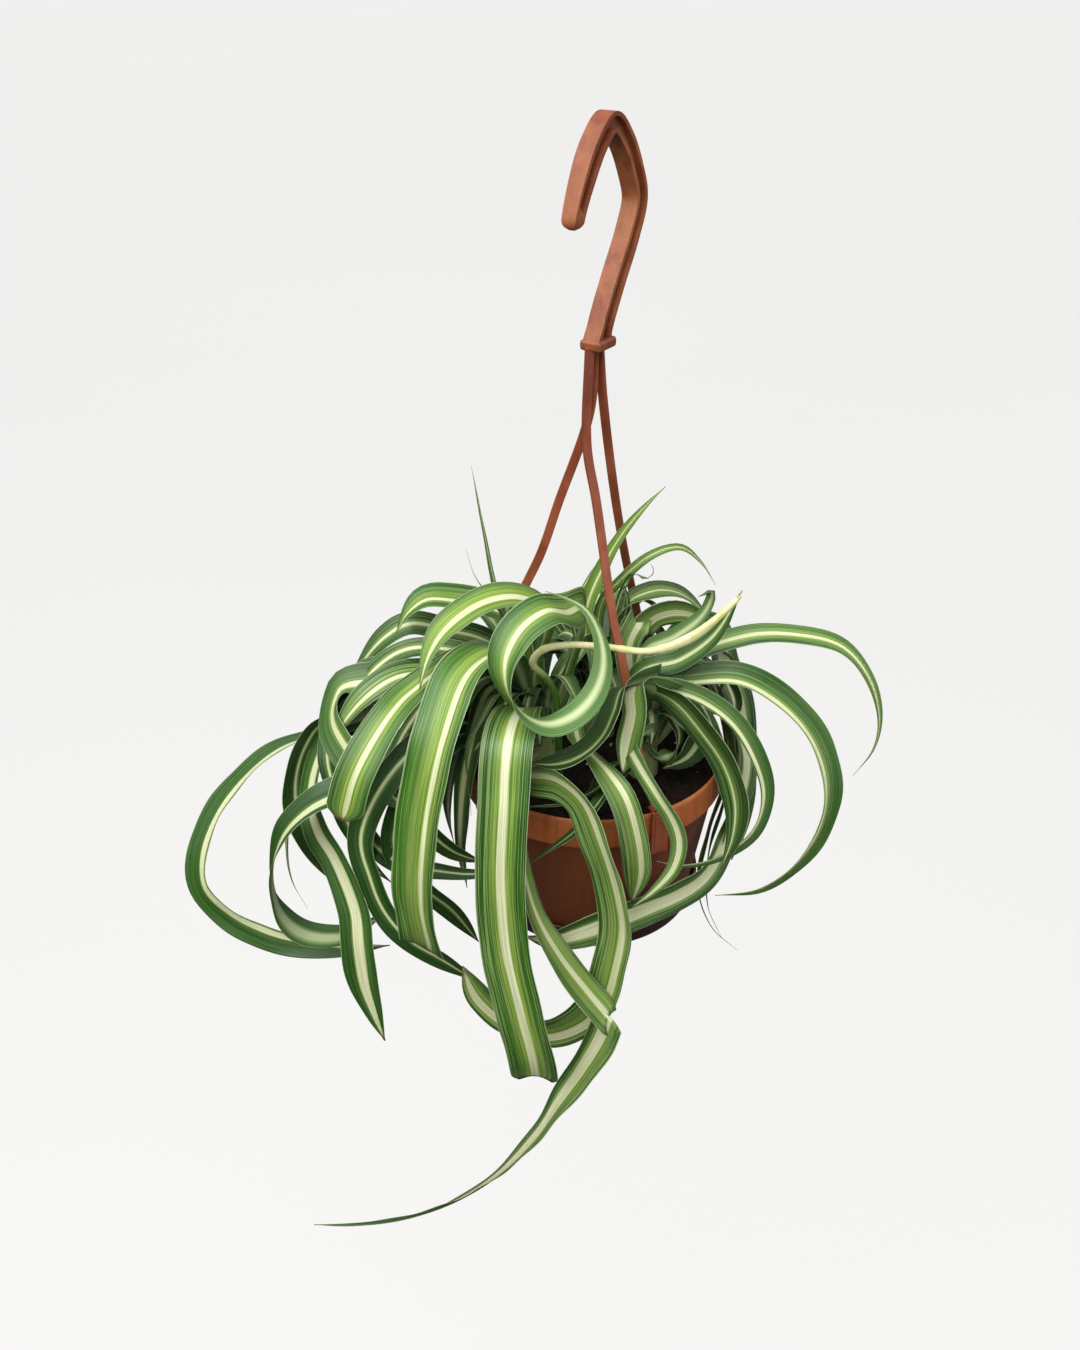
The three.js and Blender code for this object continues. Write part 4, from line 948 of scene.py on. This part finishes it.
def blade(bm, settings, leaf, number):
    """One blade: a thin channelled strip with waved edges that follows its route."""
    name, width, root_roll, tip_roll, hold, route = leaf[:6]
    opened = leaf[6] if len(leaf) > 6 else BLADE_OPEN
    chance = random.Random(f"{name}{number}")
    at, length = smooth_route(route)
    steps = max(LEAF_STEPS_LEAST, math.ceil(length / LEAF_STEP))
    ways = [at(i / steps) for i in range(steps + 1)]
    heading = ways[math.ceil(steps / 3)][0] - ways[0][0]
    side = Vector((-heading.y, heading.x, 0)).normalized()
    sides = []
    for _, forward in ways:
        side = (side - forward * side.dot(forward)).normalized()
        sides.append(side)
    marks = MARKINGS.get(name) or [chance.uniform(low, high) for low, high in CHANCE_MARKINGS]
    # Inner leaves carry the strongest painted shade
    if name == "inner":
        marks[-2] = INNER_SHADE
    marks = dict(zip(LEAF_VALUES[3:], marks), tone=chance.random())
    first = KINK_SHARE if leaf is KINKED_END else 0
    last = CUT_SHARE if hold == 1 else 1
    waves = [(chance.uniform(*WAVE_LENGTHS), chance.uniform(0, math.tau)) for _ in range(2)]
    columns = settings.columns
    if width <= NARROW_BLADE:
        columns = max(COLUMNS_LEAST, columns // 2)
    rows = max(ROWS_LEAST, round(length / settings.row_step))
    frames = []
    for row in range(rows + 1):
        share = row / rows
        centre, forward = at(share)
        span = min(int(share * steps), steps - 1)
        across = sides[span].lerp(sides[span + 1], share * steps - span)
        across = (across - forward * across.dot(forward)).normalized()
        across.rotate(Quaternion(forward, math.radians(mixed(root_roll, tip_roll, share))))
        wide = width * blade_share(share, hold, opened)
        if hold == 1:
            wide *= 1 - BLUNT_CUT * max(0, 1 - (1 - share) * length / BLUNT_END) ** 2.5
        frames.append((centre, across, forward.cross(across), wide, forward))

    def place(row, k):
        below = k > columns
        step = (2 * columns + 1 - k) if below else k
        if k == 2 * columns + 2:
            below, step = False, 0
        a = math.cos(math.pi * step / columns)
        a = mixed(1 - 2 * step / columns, a, 0.5)
        centre, across, normal, wide, forward = frames[row]
        distance = row / rows * length
        period, phase = waves[0 if a > 0 else 1]
        wave = settings.ruffle * abs(a) ** 3 * math.sin(distance * math.tau / period + phase)
        level = wide * LEAF_CHANNEL * abs(a) ** 1.5 + wave * wide / max(width, 1)
        thick = min(settings.blade_thickness, THIN_BLADE + THICKER_BY_WIDTH * wide)
        thick *= 1 - THINNER_AT_EDGE * a * a
        level += -thick / 2 if below else thick / 2
        if hold == 1:
            notched = max(0, 1 - (length - distance) / NOTCH_REACH) ** 2
            centre = centre - forward * NOTCH * notched * (1 - a * a)
        point = ROW @ (centre + across * (a * wide / 2) + normal * level)
        values = {"share": mixed(first, last, row / rows), "under": float(below), **marks}
        return point, (1 + a) / 2, distance / MAP_LENGTH, values

    tube(bm, rows, 2 * columns + 2, place)


def crown_stem(bm, crown):
    """The short pale stem that a crown's leaves rise from, down to its foot in the soil."""
    x, y = CROWNS[crown]

    def place(row, k):
        height, radius = STEM[row]
        angle = math.tau * k / STEM_FACETS
        point = ROW @ Vector((x + radius * math.cos(angle), y + radius * math.sin(angle), height))
        return point, k / STEM_FACETS, height / MAP_LENGTH, dict(zip(LEAF_VALUES, STEM_VALUES))

    tube(bm, len(STEM) - 1, STEM_FACETS, place)


class SPIDER_PLANT_OT_leaves(Operator):
    """Adds the three crowns of striped leaves"""

    bl_idname = "spider_plant.leaves"
    bl_label = "Leaves"

    def execute(self, context):
        settings = context.scene.spider_plant_leaves
        material = leaf_finish(settings)
        for crown in CROWNS:
            bm = new_mesh()
            crown_stem(bm, crown)
            leaves = list(LEAVES[crown])
            for sector in FILLERS:
                if sector[0] == crown:
                    leaves += filler_leaves(*sector)
            leaves = [[*leaf[:5], rooted(crown, leaf[5]), *leaf[6:]] for leaf in leaves]
            if crown == "left":
                leaves.append(KINKED_END)
            for number, leaf in enumerate(leaves):
                blade(bm, settings, leaf, number)
            finished(bm, f"{crown}_crown_leaves", material, f"{crown}_crown")
        self.inner(settings, material)
        return {"FINISHED"}

    def inner(self, settings, material):
        """Narrow leaves, darkened by painted shade, that fill the heart of the plant behind the ones
        that show.

        One that would touch a strap or the runner is left out."""
        bm = new_mesh()
        stems = along(RUNNER_ROUTE, RUNNER_POINTS)
        for _, angle, _, route in STRAPS:
            turned = Matrix.Rotation(math.radians(angle), 3, "Z")
            stems += [turned @ point for point in along(route, STRAP_POINTS)]
        stems = [point for point in stems if point.z < INNER_TOP]
        for sector in INNER_LEAVES:
            for number, leaf in enumerate(filler_leaves(*sector)):
                leaf[0], leaf[1] = "inner", leaf[1] * INNER_WIDTH
                leaf[5] = rooted(sector[0], leaf[5])
                way, reach = along(leaf[5], INNER_POINTS), leaf[1] / 2 + INNER_CLEAR
                if all((a - b).length > reach for a in stems for b in way):
                    blade(bm, settings, leaf, number)
        finished(bm, "inner_leaves", material, None)


class SPIDER_PLANT_OT_runner(Operator):
    """Adds the cream runner with its flattened sheath and blunt fuzzy tip"""

    bl_idname = "spider_plant.runner"
    bl_label = "Runner"

    def execute(self, context):
        settings = context.scene.spider_plant_leaves
        bm = new_mesh()
        at, length = smooth_route(RUNNER_ROUTE)
        up = Vector((0, 0, 1))

        def place(row, k):
            share = row / RUNNER_STEPS
            centre, forward = at(share)
            side = forward.cross(up if abs(forward.z) < 0.95 else Vector((0, 1, 0))).normalized()
            out = side.cross(forward)
            radius = RUNNER_RADIUS * (1 - share * RUNNER_TAPER)
            radius += sum(KNOT_HEIGHT * math.exp(-((share - knot) * length / KNOT_LENGTH) ** 2)
                          for knot in RUNNER_KNOTS)
            sheath = SHEATH_HEIGHT * math.exp(-((share - SHEATH_PLACE) / SHEATH_SPREAD) ** 2)
            blunt = max(0, 1 - (1 - share) * length / RUNNER_BLUNT)
            blunt = math.sqrt(max(0.05, 1 - blunt ** 2))
            angle = math.tau * k / RUNNER_FACETS
            groove = 1 - GROOVE_DEPTH * sheath * math.cos(angle * GROOVES)
            return (ROW @ (centre + side * radius * blunt * groove * math.cos(angle)
                           + out * radius * blunt * groove * (1 + sheath) * math.sin(angle)),
                    k / RUNNER_FACETS, share, {})

        tube(bm, RUNNER_STEPS, RUNNER_FACETS, place)
        chance = random.Random(5)
        tip, forward = at(1)
        for number in range(TIP_HAIRS):
            spread = Vector([chance.uniform(-1, 1) for _ in range(3)])
            hair = [tip - forward * 3, tip + spread, tip + forward * 1.5 + spread * 1.3]
            blade(bm, settings, ["fuzz", HAIR_WIDTH, 0, 0, 0.2, hair], number)
        finished(bm, "runner_stem", runner_finish(settings), "runner")
        return {"FINISHED"}


class SPIDER_PLANT_OT_pot(Operator):
    """Adds the pot with its rim band, foot ring and drain holes"""

    bl_idname = "spider_plant.pot"
    bl_label = "Pot"

    def execute(self, context):
        settings = context.scene.spider_plant_pot
        base, under = -POT_HEIGHT, -RIM_BAND
        top = RIM_RADIUS - RIM_OVERHANG
        taper = (top - POT_BASE_RADIUS) / (POT_HEIGHT - RIM_BAND)

        def inside(height):
            return POT_BASE_RADIUS + taper * (height + POT_HEIGHT) - POT_WALL

        profile = rounded([
            (0, base + FOOT_HEIGHT), (POT_BASE_RADIUS - 4, base + FOOT_HEIGHT),
            (POT_BASE_RADIUS - 3, base), (POT_BASE_RADIUS, base), (top, under),
            (RIM_RADIUS - 0.9, under), (RIM_RADIUS, under + 1.4), (RIM_RADIUS - 0.3, -1.6),
            (RIM_RADIUS - 0.9, 0), (RIM_RADIUS - POT_WALL, 0),
            (RIM_RADIUS - POT_WALL - 0.6, under + POT_WALL), (inside(under), under),
            (inside(POT_FLOOR), POT_FLOOR + 1), (inside(POT_FLOOR) - 1, POT_FLOOR),
            (0, POT_FLOOR)], 0.7)
        bm = new_mesh()
        lathe(bm, profile)
        colors = settings.rim_color, settings.rim_worn, settings.pot_dark
        # Below the rim band the pot turns to the darker body colour: painted shade
        finish = moulded_finish("pot_plastic", colors, 9, 0.3, RIM_CENTRE.z - RIM_BAND * MM,
                                settings.body_shade_color)
        drill(finished(bm, "pot_shell", finish, "pot"))
        return {"FINISHED"}


def drill(pot):
    """Cuts the drain holes through the pot's floor."""
    bm = bmesh.new()
    for i in range(DRAIN_HOLES):
        angle = math.tau * (i + 0.5) / DRAIN_HOLES
        place = Matrix.Translation((DRAIN_CIRCLE * math.cos(angle),
                                    DRAIN_CIRCLE * math.sin(angle), POT_FLOOR))
        bmesh.ops.create_cone(bm, cap_ends=True, segments=32, radius1=DRAIN_RADIUS,
                              radius2=DRAIN_RADIUS, depth=4 * POT_WALL, matrix=ROW @ place)
    mesh = bpy.data.meshes.new("drills")
    bm.to_mesh(mesh)
    bm.free()
    drills = bpy.data.objects.new("drills", mesh)
    bpy.context.scene.collection.objects.link(drills)
    cut = pot.modifiers.new("drain holes", "BOOLEAN")
    cut.object = drills
    cut.operation = "DIFFERENCE"
    cut.solver = "EXACT"
    with bpy.context.temp_override(object=pot, active_object=pot):
        bpy.ops.object.modifier_apply(modifier=cut.name)
    bpy.data.objects.remove(drills)


class SPIDER_PLANT_OT_saucer(Operator):
    """Adds the drip saucer that snaps over the pot's foot"""

    bl_idname = "spider_plant.saucer"
    bl_label = "Saucer"

    def execute(self, context):
        settings = context.scene.spider_plant_pot
        bottom, top = SAUCER_BOTTOM, SAUCER_TOP
        floor = bottom + SAUCER_WALL
        inside = POT_BASE_RADIUS + 4.0
        profile = rounded([
            (0, bottom), (POT_BASE_RADIUS - 6, bottom), (POT_BASE_RADIUS - 5, bottom + 0.7),
            (POT_BASE_RADIUS - 3.4, bottom + 0.7), (POT_BASE_RADIUS - 3, bottom),
            (POT_BASE_RADIUS, bottom), (POT_BASE_RADIUS + 3, bottom + 2.4),
            (SAUCER_RADIUS - 1.4, top - 4), (SAUCER_RADIUS, top - 3.2), (SAUCER_RADIUS, top - 0.6),
            (SAUCER_RADIUS - 0.6, top), (inside, top), (inside - 0.5, top - 3),
            (POT_BASE_RADIUS + 2, top - 5), (POT_BASE_RADIUS + 0.7, floor), (0, floor)], 0.8)
        bm = new_mesh()
        lathe(bm, profile)
        colors = settings.saucer_color, settings.saucer_worn, settings.saucer_dark
        finished(bm, "drip_saucer", moulded_finish("saucer_plastic", colors, 12, 0.34), "saucer")
        return {"FINISHED"}


class SPIDER_PLANT_OT_soil(Operator):
    """Adds the potting mix with loose crumbs and pale grit"""

    bl_idname = "spider_plant.soil"
    bl_label = "Potting Mix"

    def execute(self, context):
        settings = context.scene.spider_plant_pot
        chance = random.Random(11)
        edge = RIM_RADIUS - POT_WALL - SOIL_GAP

        def level(share):
            return SOIL_TOP + SOIL_DOME * math.cos(share * math.pi / 2)

        surface = [(edge * i / SOIL_RINGS, level(i / SOIL_RINGS) - 1)
                   for i in range(SOIL_RINGS, 0, -1)]
        bm = new_mesh()
        lathe(bm, [(0, POT_FLOOR + 0.4), (54, POT_FLOOR + 0.4), (58, POT_FLOOR + 4),
                   (67.5, -RIM_BAND - 1), (edge - 1, -RIM_BAND + 3), (edge, SOIL_TOP - 2.5),
                   *surface, (0, SOIL_TOP + 1.5)], SOIL_ROUND)
        for vert in bm.verts:
            from_axis = Vector((vert.co.x - RIM_CENTRE.x, vert.co.y - RIM_CENTRE.y)).length / MM
            if vert.co.z > RIM_CENTRE.z + (SOIL_TOP - 2) * MM and from_axis < edge - 1:
                vert.co.z += chance.uniform(*SOIL_UNEVEN) * MM
        finished(bm, "soil_block", soil_finish(settings), "potting_soil")
        for name, count, sizes, material in (
                ("soil_crumbs", settings.crumbs, (0.5, 1.7), soil_finish(settings)),
                ("soil_grit", settings.crumbs // 7, (0.4, 1.3), grit_finish())):
            bm = new_mesh()
            for _ in range(count):
                radius = (edge - 2.5) * math.sqrt(chance.random())
                angle = chance.uniform(0, math.tau)
                size = chance.uniform(*sizes)
                height = level(radius / edge) - 0.9
                place = (UPRIGHT @ Matrix.Translation((
                    radius * math.cos(angle), radius * math.sin(angle), height))
                    @ Matrix.Rotation(chance.uniform(0, math.tau), 4, "X")
                    @ Matrix.Diagonal((chance.uniform(0.7, 1.6), 1, chance.uniform(0.5, 1), 1)))
                lump = bmesh.ops.create_icosphere(bm, subdivisions=1, radius=size, matrix=place)
                for vert in lump["verts"]:
                    vert.co += Vector([chance.uniform(*LUMP_UNEVEN) * size * MM
                                       for _ in range(3)])
            finished(bm, name, material, "potting_soil", smooth=False)
        return {"FINISHED"}


# The middle of the hook's bar, from the collar over the bend to its tip, as distance from the
# pot's axis towards the hook's opening and height
HOOK_LINE = [(0, 227), (-1, 232), (-4, 239), (-14, 256), (-26, 275), (-32, 290), (-27, 304),
             (-18, 318), (-7, HOOK_TOP + HOOK_DEPTH / 2), (5, 318), (15, 303), (21, 290),
             (22, 285)]
HOOK_STEPS = 150
STRAP_STEPS = 90
BEVEL_ANGLE = math.radians(35)

# Each strap's direction, how far its flat is turned at the top, and its way to the rim, as
# distance along it, sideways and height
STRAPS = [
    ("front", -62, 0, [[2, -5, 228], [0, -5, 178], [5, -2, 149], [22, 0, 88], [33, 0, 68],
                    [53, 0, 22], [66, 0, 6], [71.5, 0, 1.4]]),
    ("right", 58, 0, [[2, 0, 228], [6, 0, 200], [23, 0, 130], [46, 0, 63], [60, 0, 32],
                   [68.5, 0, 10], [71.5, 0, 1.4]]),
    ("left", 178, 90, [[1, 0, 228], [3, 0, 195], [19, 0, 145], [28, 0, 117], [40, 0, 90],
                   [58, 0, 45], [68.5, 0, 12], [71.5, 0, 1.4]]),
]


def boxed(bm, place, low, high):
    """A block between two corners, in millimetres of the place it is put in."""
    low, high = Vector(low), Vector(high)
    size = Matrix.Diagonal((*(high - low), 1))
    bmesh.ops.create_cube(bm, size=1, matrix=place @ Matrix.Translation((low + high) / 2) @ size)


class SPIDER_PLANT_OT_hanger(Operator):
    """Adds the hook of I section, its collar, the three straps and their clips"""

    bl_idname = "spider_plant.hanger"
    bl_label = "Hanger"

    def execute(self, context):
        settings = context.scene.spider_plant_pot
        edge = settings.edge_round
        hook_finish = moulded_finish("hook_plastic", (
            settings.hook_color, settings.hook_worn, settings.hook_dark), 60, 0.46)
        strap_finish = moulded_finish("strap_plastic", (
            settings.strap_color, settings.strap_worn, settings.strap_dark), 30, 0.4)
        self.moulded("hanger_hook", hook_finish, edge, 3, self.hook)
        self.moulded("hanger_collar", hook_finish, 3 * edge, 4, self.collar)
        for name, *form in STRAPS:
            self.moulded(f"hanger_strap_{name}", strap_finish, edge, 3, self.strap, *form)
        return {"FINISHED"}

    def moulded(self, name, finish, edge, segments, shape, *form):
        """One piece of the hanger with its sharp edges rounded."""
        bm = new_mesh()
        shape(bm, *form)
        bevel = finished(bm, name, finish, "hanger").modifiers.new(
            "edges", "BEVEL")
        bevel.width = edge
        bevel.segments = segments
        bevel.limit_method = "ANGLE"
        bevel.angle_limit = BEVEL_ANGLE
        bevel.harden_normals = True

    def hook(self, bm):
        at, length = smooth_route([(x, 0, z) for x, z in HOOK_LINE])
        half, wide = HOOK_DEPTH / 2, HOOK_WIDTH / 2
        inner = half - HOOK_FLANGE
        # Lengths of the bar, in millimetres: rounded and filled at the tip, filled and wider at the
        # foot, and narrowed towards the tip
        round_end, solid_end, solid_foot, flare, tapered = 4.2, 11, 3, 9, 34

        def section(share):
            to_tip, to_foot = (1 - share) * length, share * length
            closed = max(1 - smoothstep(to_tip, solid_end - 4, solid_end),
                         1 - smoothstep(to_foot, solid_foot - 2, solid_foot + 2))
            web = mixed(HOOK_WEB / 2, wide - 0.25, closed)
            narrow = 1 - 0.16 * (1 - smoothstep(to_tip, 0, tapered))
            if to_tip < round_end:
                narrow *= max(0.25, math.sqrt(1 - (1 - to_tip / round_end) ** 2))
            grow = 1 + 0.5 * (1 - smoothstep(to_foot, 0, flare))
            return [(u * narrow * grow, v * narrow) for u, v in (
                (-half, -wide), (-inner, -wide), (-inner, -web), (inner, -web), (inner, -wide),
                (half, -wide), (half, wide), (inner, wide), (inner, web), (-inner, web),
                (-inner, wide), (-half, wide))]

        def frame_at(share):
            centre, forward = at(share)
            return (UPRIGHT @ centre, Vector((forward.z, 0, -forward.x)) * MM,
                    Vector((0, 1, 0)) * MM)

        swept(bm, HOOK_STEPS, section, frame_at)

    def collar(self, bm):
        length, width = COLLAR["length"] / 2, COLLAR["width"] / 2
        bottom, back = COLLAR["bottom"], COLLAR["back"]
        boxed(bm, UPRIGHT, (-length - back, -width, bottom),
              (length - back, width, bottom + COLLAR["height"]))

    def strap(self, bm, angle, twist, route):
        turned = ROW @ Matrix.Rotation(math.radians(angle), 4, "Z")
        at, _ = smooth_route(route)
        wide, thick = STRAP_WIDTH / 2, STRAP_THICK / 2
        section = [(thick, -wide), (thick, wide), (-thick, wide), (-thick, -wide)]

        def frame_at(share):
            centre, forward = at(share)
            spin = turned.to_3x3()
            side = Vector((0, 1, 0))
            untwisted = smoothstep(share, *STRAP_UNTWIST)
            side.rotate(Quaternion(forward, math.radians(twist) * (1 - untwisted)))
            return turned @ centre, spin @ forward.cross(side).normalized(), spin @ side

        swept(bm, STRAP_STEPS, lambda share: section, frame_at)
        inside = RIM_RADIUS + CLIP_GAP
        outside = inside + CLIP["thick"]
        top = CLIP_GAP + CLIP["thick"]
        half, low = CLIP["width"] / 2, top - CLIP["length"]
        boxed(bm, turned, (CLIP["inner"], -CLIP["bridge"] / 2, CLIP_GAP),
              (outside - 0.4, CLIP["bridge"] / 2, top))
        boxed(bm, turned, (inside, -half, low), (outside, half, top))
        boxed(bm, turned, (outside - 0.2, -half + 1.6, low + 1.5),
              (outside + 0.5, half - 4, top - 2))
        boxed(bm, turned, (inside - CLIP["lug"], -half, -RIM_BAND - CLIP_GAP - CLIP["thick"]),
              (outside - 0.4, half, -RIM_BAND - CLIP_GAP))


# The camera stands where the photograph was taken from: millimetres from the middle of the rim,
# turned and tilted in degrees, with the focal length in pixels of the 1350 pixel high frame
CAMERA_PLACE = Vector((0, -621.8, 419.4))
CAMERA_YAW = math.radians(-2.69)
CAMERA_PITCH = math.radians(31.15)
CAMERA_ROLL = math.radians(-0.71)
FOCAL_PIXELS = 1320.7
FRAME_HEIGHT = 1350
# The two large lights: size in metres, place in millimetres from the middle of the rim, colour;
# they face a point above it
LIGHTS = {"key": (1.5, (-520, -760, 1150), (1.0, 0.985, 0.96)),
          "fill": (1.8, (1100, -500, 300), (0.93, 0.97, 1.0))}
LIT = Vector((0, 0, 40))
DAYLIGHT_FALL = Vector((0.2, 0.3, -1))
DAYLIGHT_SPREAD = math.radians(70)
# Heights between which the light from below turns into the sky's, as slopes against the horizon
HORIZON = (-0.12, 0.06)
SKY_COLOR = (1, 0.995, 0.985, 1)
FLOOR_REACH = 60


class SPIDER_PLANT_OT_stage(Operator):
    """Adds the floor, the soft lights and the camera"""

    bl_idname = "spider_plant.stage"
    bl_label = "Stage"

    def execute(self, context):
        settings = context.scene.spider_plant_stage
        self.floor(context, settings)
        for name, power in (("key", settings.key_power), ("fill", settings.fill_power)):
            size, place, color = LIGHTS[name]
            place = ROW @ Vector(place)
            self.light(f"{name}_light", "AREA", power, place, ROW @ LIT - place, size=size,
                       color=color)
        self.light("daylight", "SUN", settings.daylight, (0, 0, 0),
                   ROW.to_3x3() @ DAYLIGHT_FALL, angle=DAYLIGHT_SPREAD)
        self.sky(context, settings)
        self.camera(context)
        return {"FINISHED"}

    def floor(self, context, settings):
        height = CAD_BOX[0][2] - settings.floor_drop
        bm = bmesh.new()
        bmesh.ops.create_grid(bm, x_segments=8, y_segments=8, size=FLOOR_REACH,
                              matrix=Matrix.Translation((0, 0, height)))
        mesh = bpy.data.meshes.new("floor")
        bm.to_mesh(mesh)
        bm.free()
        floor = bpy.data.objects.new("floor", mesh)
        context.scene.collection.objects.link(floor)
        mesh.materials.append(floor_finish(settings))
        floor.visible_diffuse = floor.visible_glossy = False

    def light(self, name, kind, power, place, aim, **looks):
        lamp = bpy.data.lights.new(name, kind)
        lamp.energy = power
        for key, value in looks.items():
            setattr(lamp, key, value)
        light = bpy.data.objects.new(name, lamp)
        light.location = place
        light.rotation_euler = aim.to_track_quat("-Z", "Y").to_euler()
        bpy.context.scene.collection.objects.link(light)

    def sky(self, context, settings):
        world = context.scene.world or bpy.data.worlds.new("pale_room")
        context.scene.world = world
        context.scene.view_settings.view_transform = "Standard"
        world.use_nodes = True
        tree = world.node_tree
        shade = tree.nodes["Background"]
        direction = tree.nodes.new("ShaderNodeSeparateXYZ")
        tree.links.new(tree.nodes.new("ShaderNodeTexCoord").outputs["Generated"],
                       direction.inputs[0])
        height = tree.nodes.new("ShaderNodeMapRange")
        height.interpolation_type = "SMOOTHSTEP"
        for name, value in (("From Min", HORIZON[0]), ("From Max", HORIZON[1]),
                            ("To Min", settings.under_light), ("To Max", settings.sky)):
            height.inputs[name].default_value = value
        tree.links.new(direction.outputs["Z"], height.inputs["Value"])
        tree.links.new(height.outputs[0], shade.inputs["Strength"])
        shade.inputs["Color"].default_value = SKY_COLOR

    def camera(self, context):
        forward = Vector((math.sin(CAMERA_YAW) * math.cos(CAMERA_PITCH),
                          math.cos(CAMERA_YAW) * math.cos(CAMERA_PITCH), -math.sin(CAMERA_PITCH)))
        right = forward.cross(Vector((0, 0, 1))).normalized()
        up = right.cross(forward)
        turned_right = right * math.cos(CAMERA_ROLL) + up * math.sin(CAMERA_ROLL)
        turned_up = up * math.cos(CAMERA_ROLL) - right * math.sin(CAMERA_ROLL)
        axes = Matrix((turned_right, turned_up, -forward)).transposed().to_4x4()
        lens = bpy.data.cameras.new("camera")
        lens.sensor_width = 36
        lens.lens = FOCAL_PIXELS * lens.sensor_width / FRAME_HEIGHT
        lens.clip_start, lens.clip_end = 0.01, 200
        camera = bpy.data.objects.new("camera", lens)
        turn = Matrix.Rotation(PLANT_TURN, 4, "Z")
        camera.matrix_world = Matrix.Translation(ROW @ CAMERA_PLACE) @ turn @ axes
        context.scene.collection.objects.link(camera)
        context.scene.camera = camera


class SPIDER_PLANT_PT_panel(Panel):
    """Lists the steps that make the plant"""

    bl_idname = "SPIDER_PLANT_PT_panel"
    bl_label = "Hanging Spider Plant"
    bl_space_type = "VIEW_3D"
    bl_region_type = "UI"
    bl_category = "Plant"

    def draw(self, context):
        for operator in OPERATORS:
            self.layout.operator(operator.bl_idname)
        for group in (context.scene.spider_plant_leaves, context.scene.spider_plant_pot,
                      context.scene.spider_plant_stage):
            box = self.layout.box()
            for name in group.bl_rna.properties.keys():
                if name not in ("rna_type", "name"):
                    box.prop(group, name)


OPERATORS = (SPIDER_PLANT_OT_stage, SPIDER_PLANT_OT_pot, SPIDER_PLANT_OT_saucer,
             SPIDER_PLANT_OT_soil, SPIDER_PLANT_OT_hanger, SPIDER_PLANT_OT_leaves,
             SPIDER_PLANT_OT_runner)
CLASSES = (SpiderPlantLeaves, SpiderPlantPot, SpiderPlantStage, *OPERATORS, SPIDER_PLANT_PT_panel)


def register():
    for item in CLASSES:
        bpy.utils.register_class(item)
    bpy.types.Scene.spider_plant_leaves = PointerProperty(type=SpiderPlantLeaves)
    bpy.types.Scene.spider_plant_pot = PointerProperty(type=SpiderPlantPot)
    bpy.types.Scene.spider_plant_stage = PointerProperty(type=SpiderPlantStage)


def unregister():
    del bpy.types.Scene.spider_plant_stage
    del bpy.types.Scene.spider_plant_pot
    del bpy.types.Scene.spider_plant_leaves
    for item in reversed(CLASSES):
        bpy.utils.unregister_class(item)


def main():
    """Makes the stage and every piece."""
    register()
    bpy.ops.spider_plant.stage()
    bpy.ops.spider_plant.pot()
    bpy.ops.spider_plant.saucer()
    bpy.ops.spider_plant.soil()
    bpy.ops.spider_plant.hanger()
    bpy.ops.spider_plant.leaves()
    bpy.ops.spider_plant.runner()


if __name__ == "__main__":
    main()
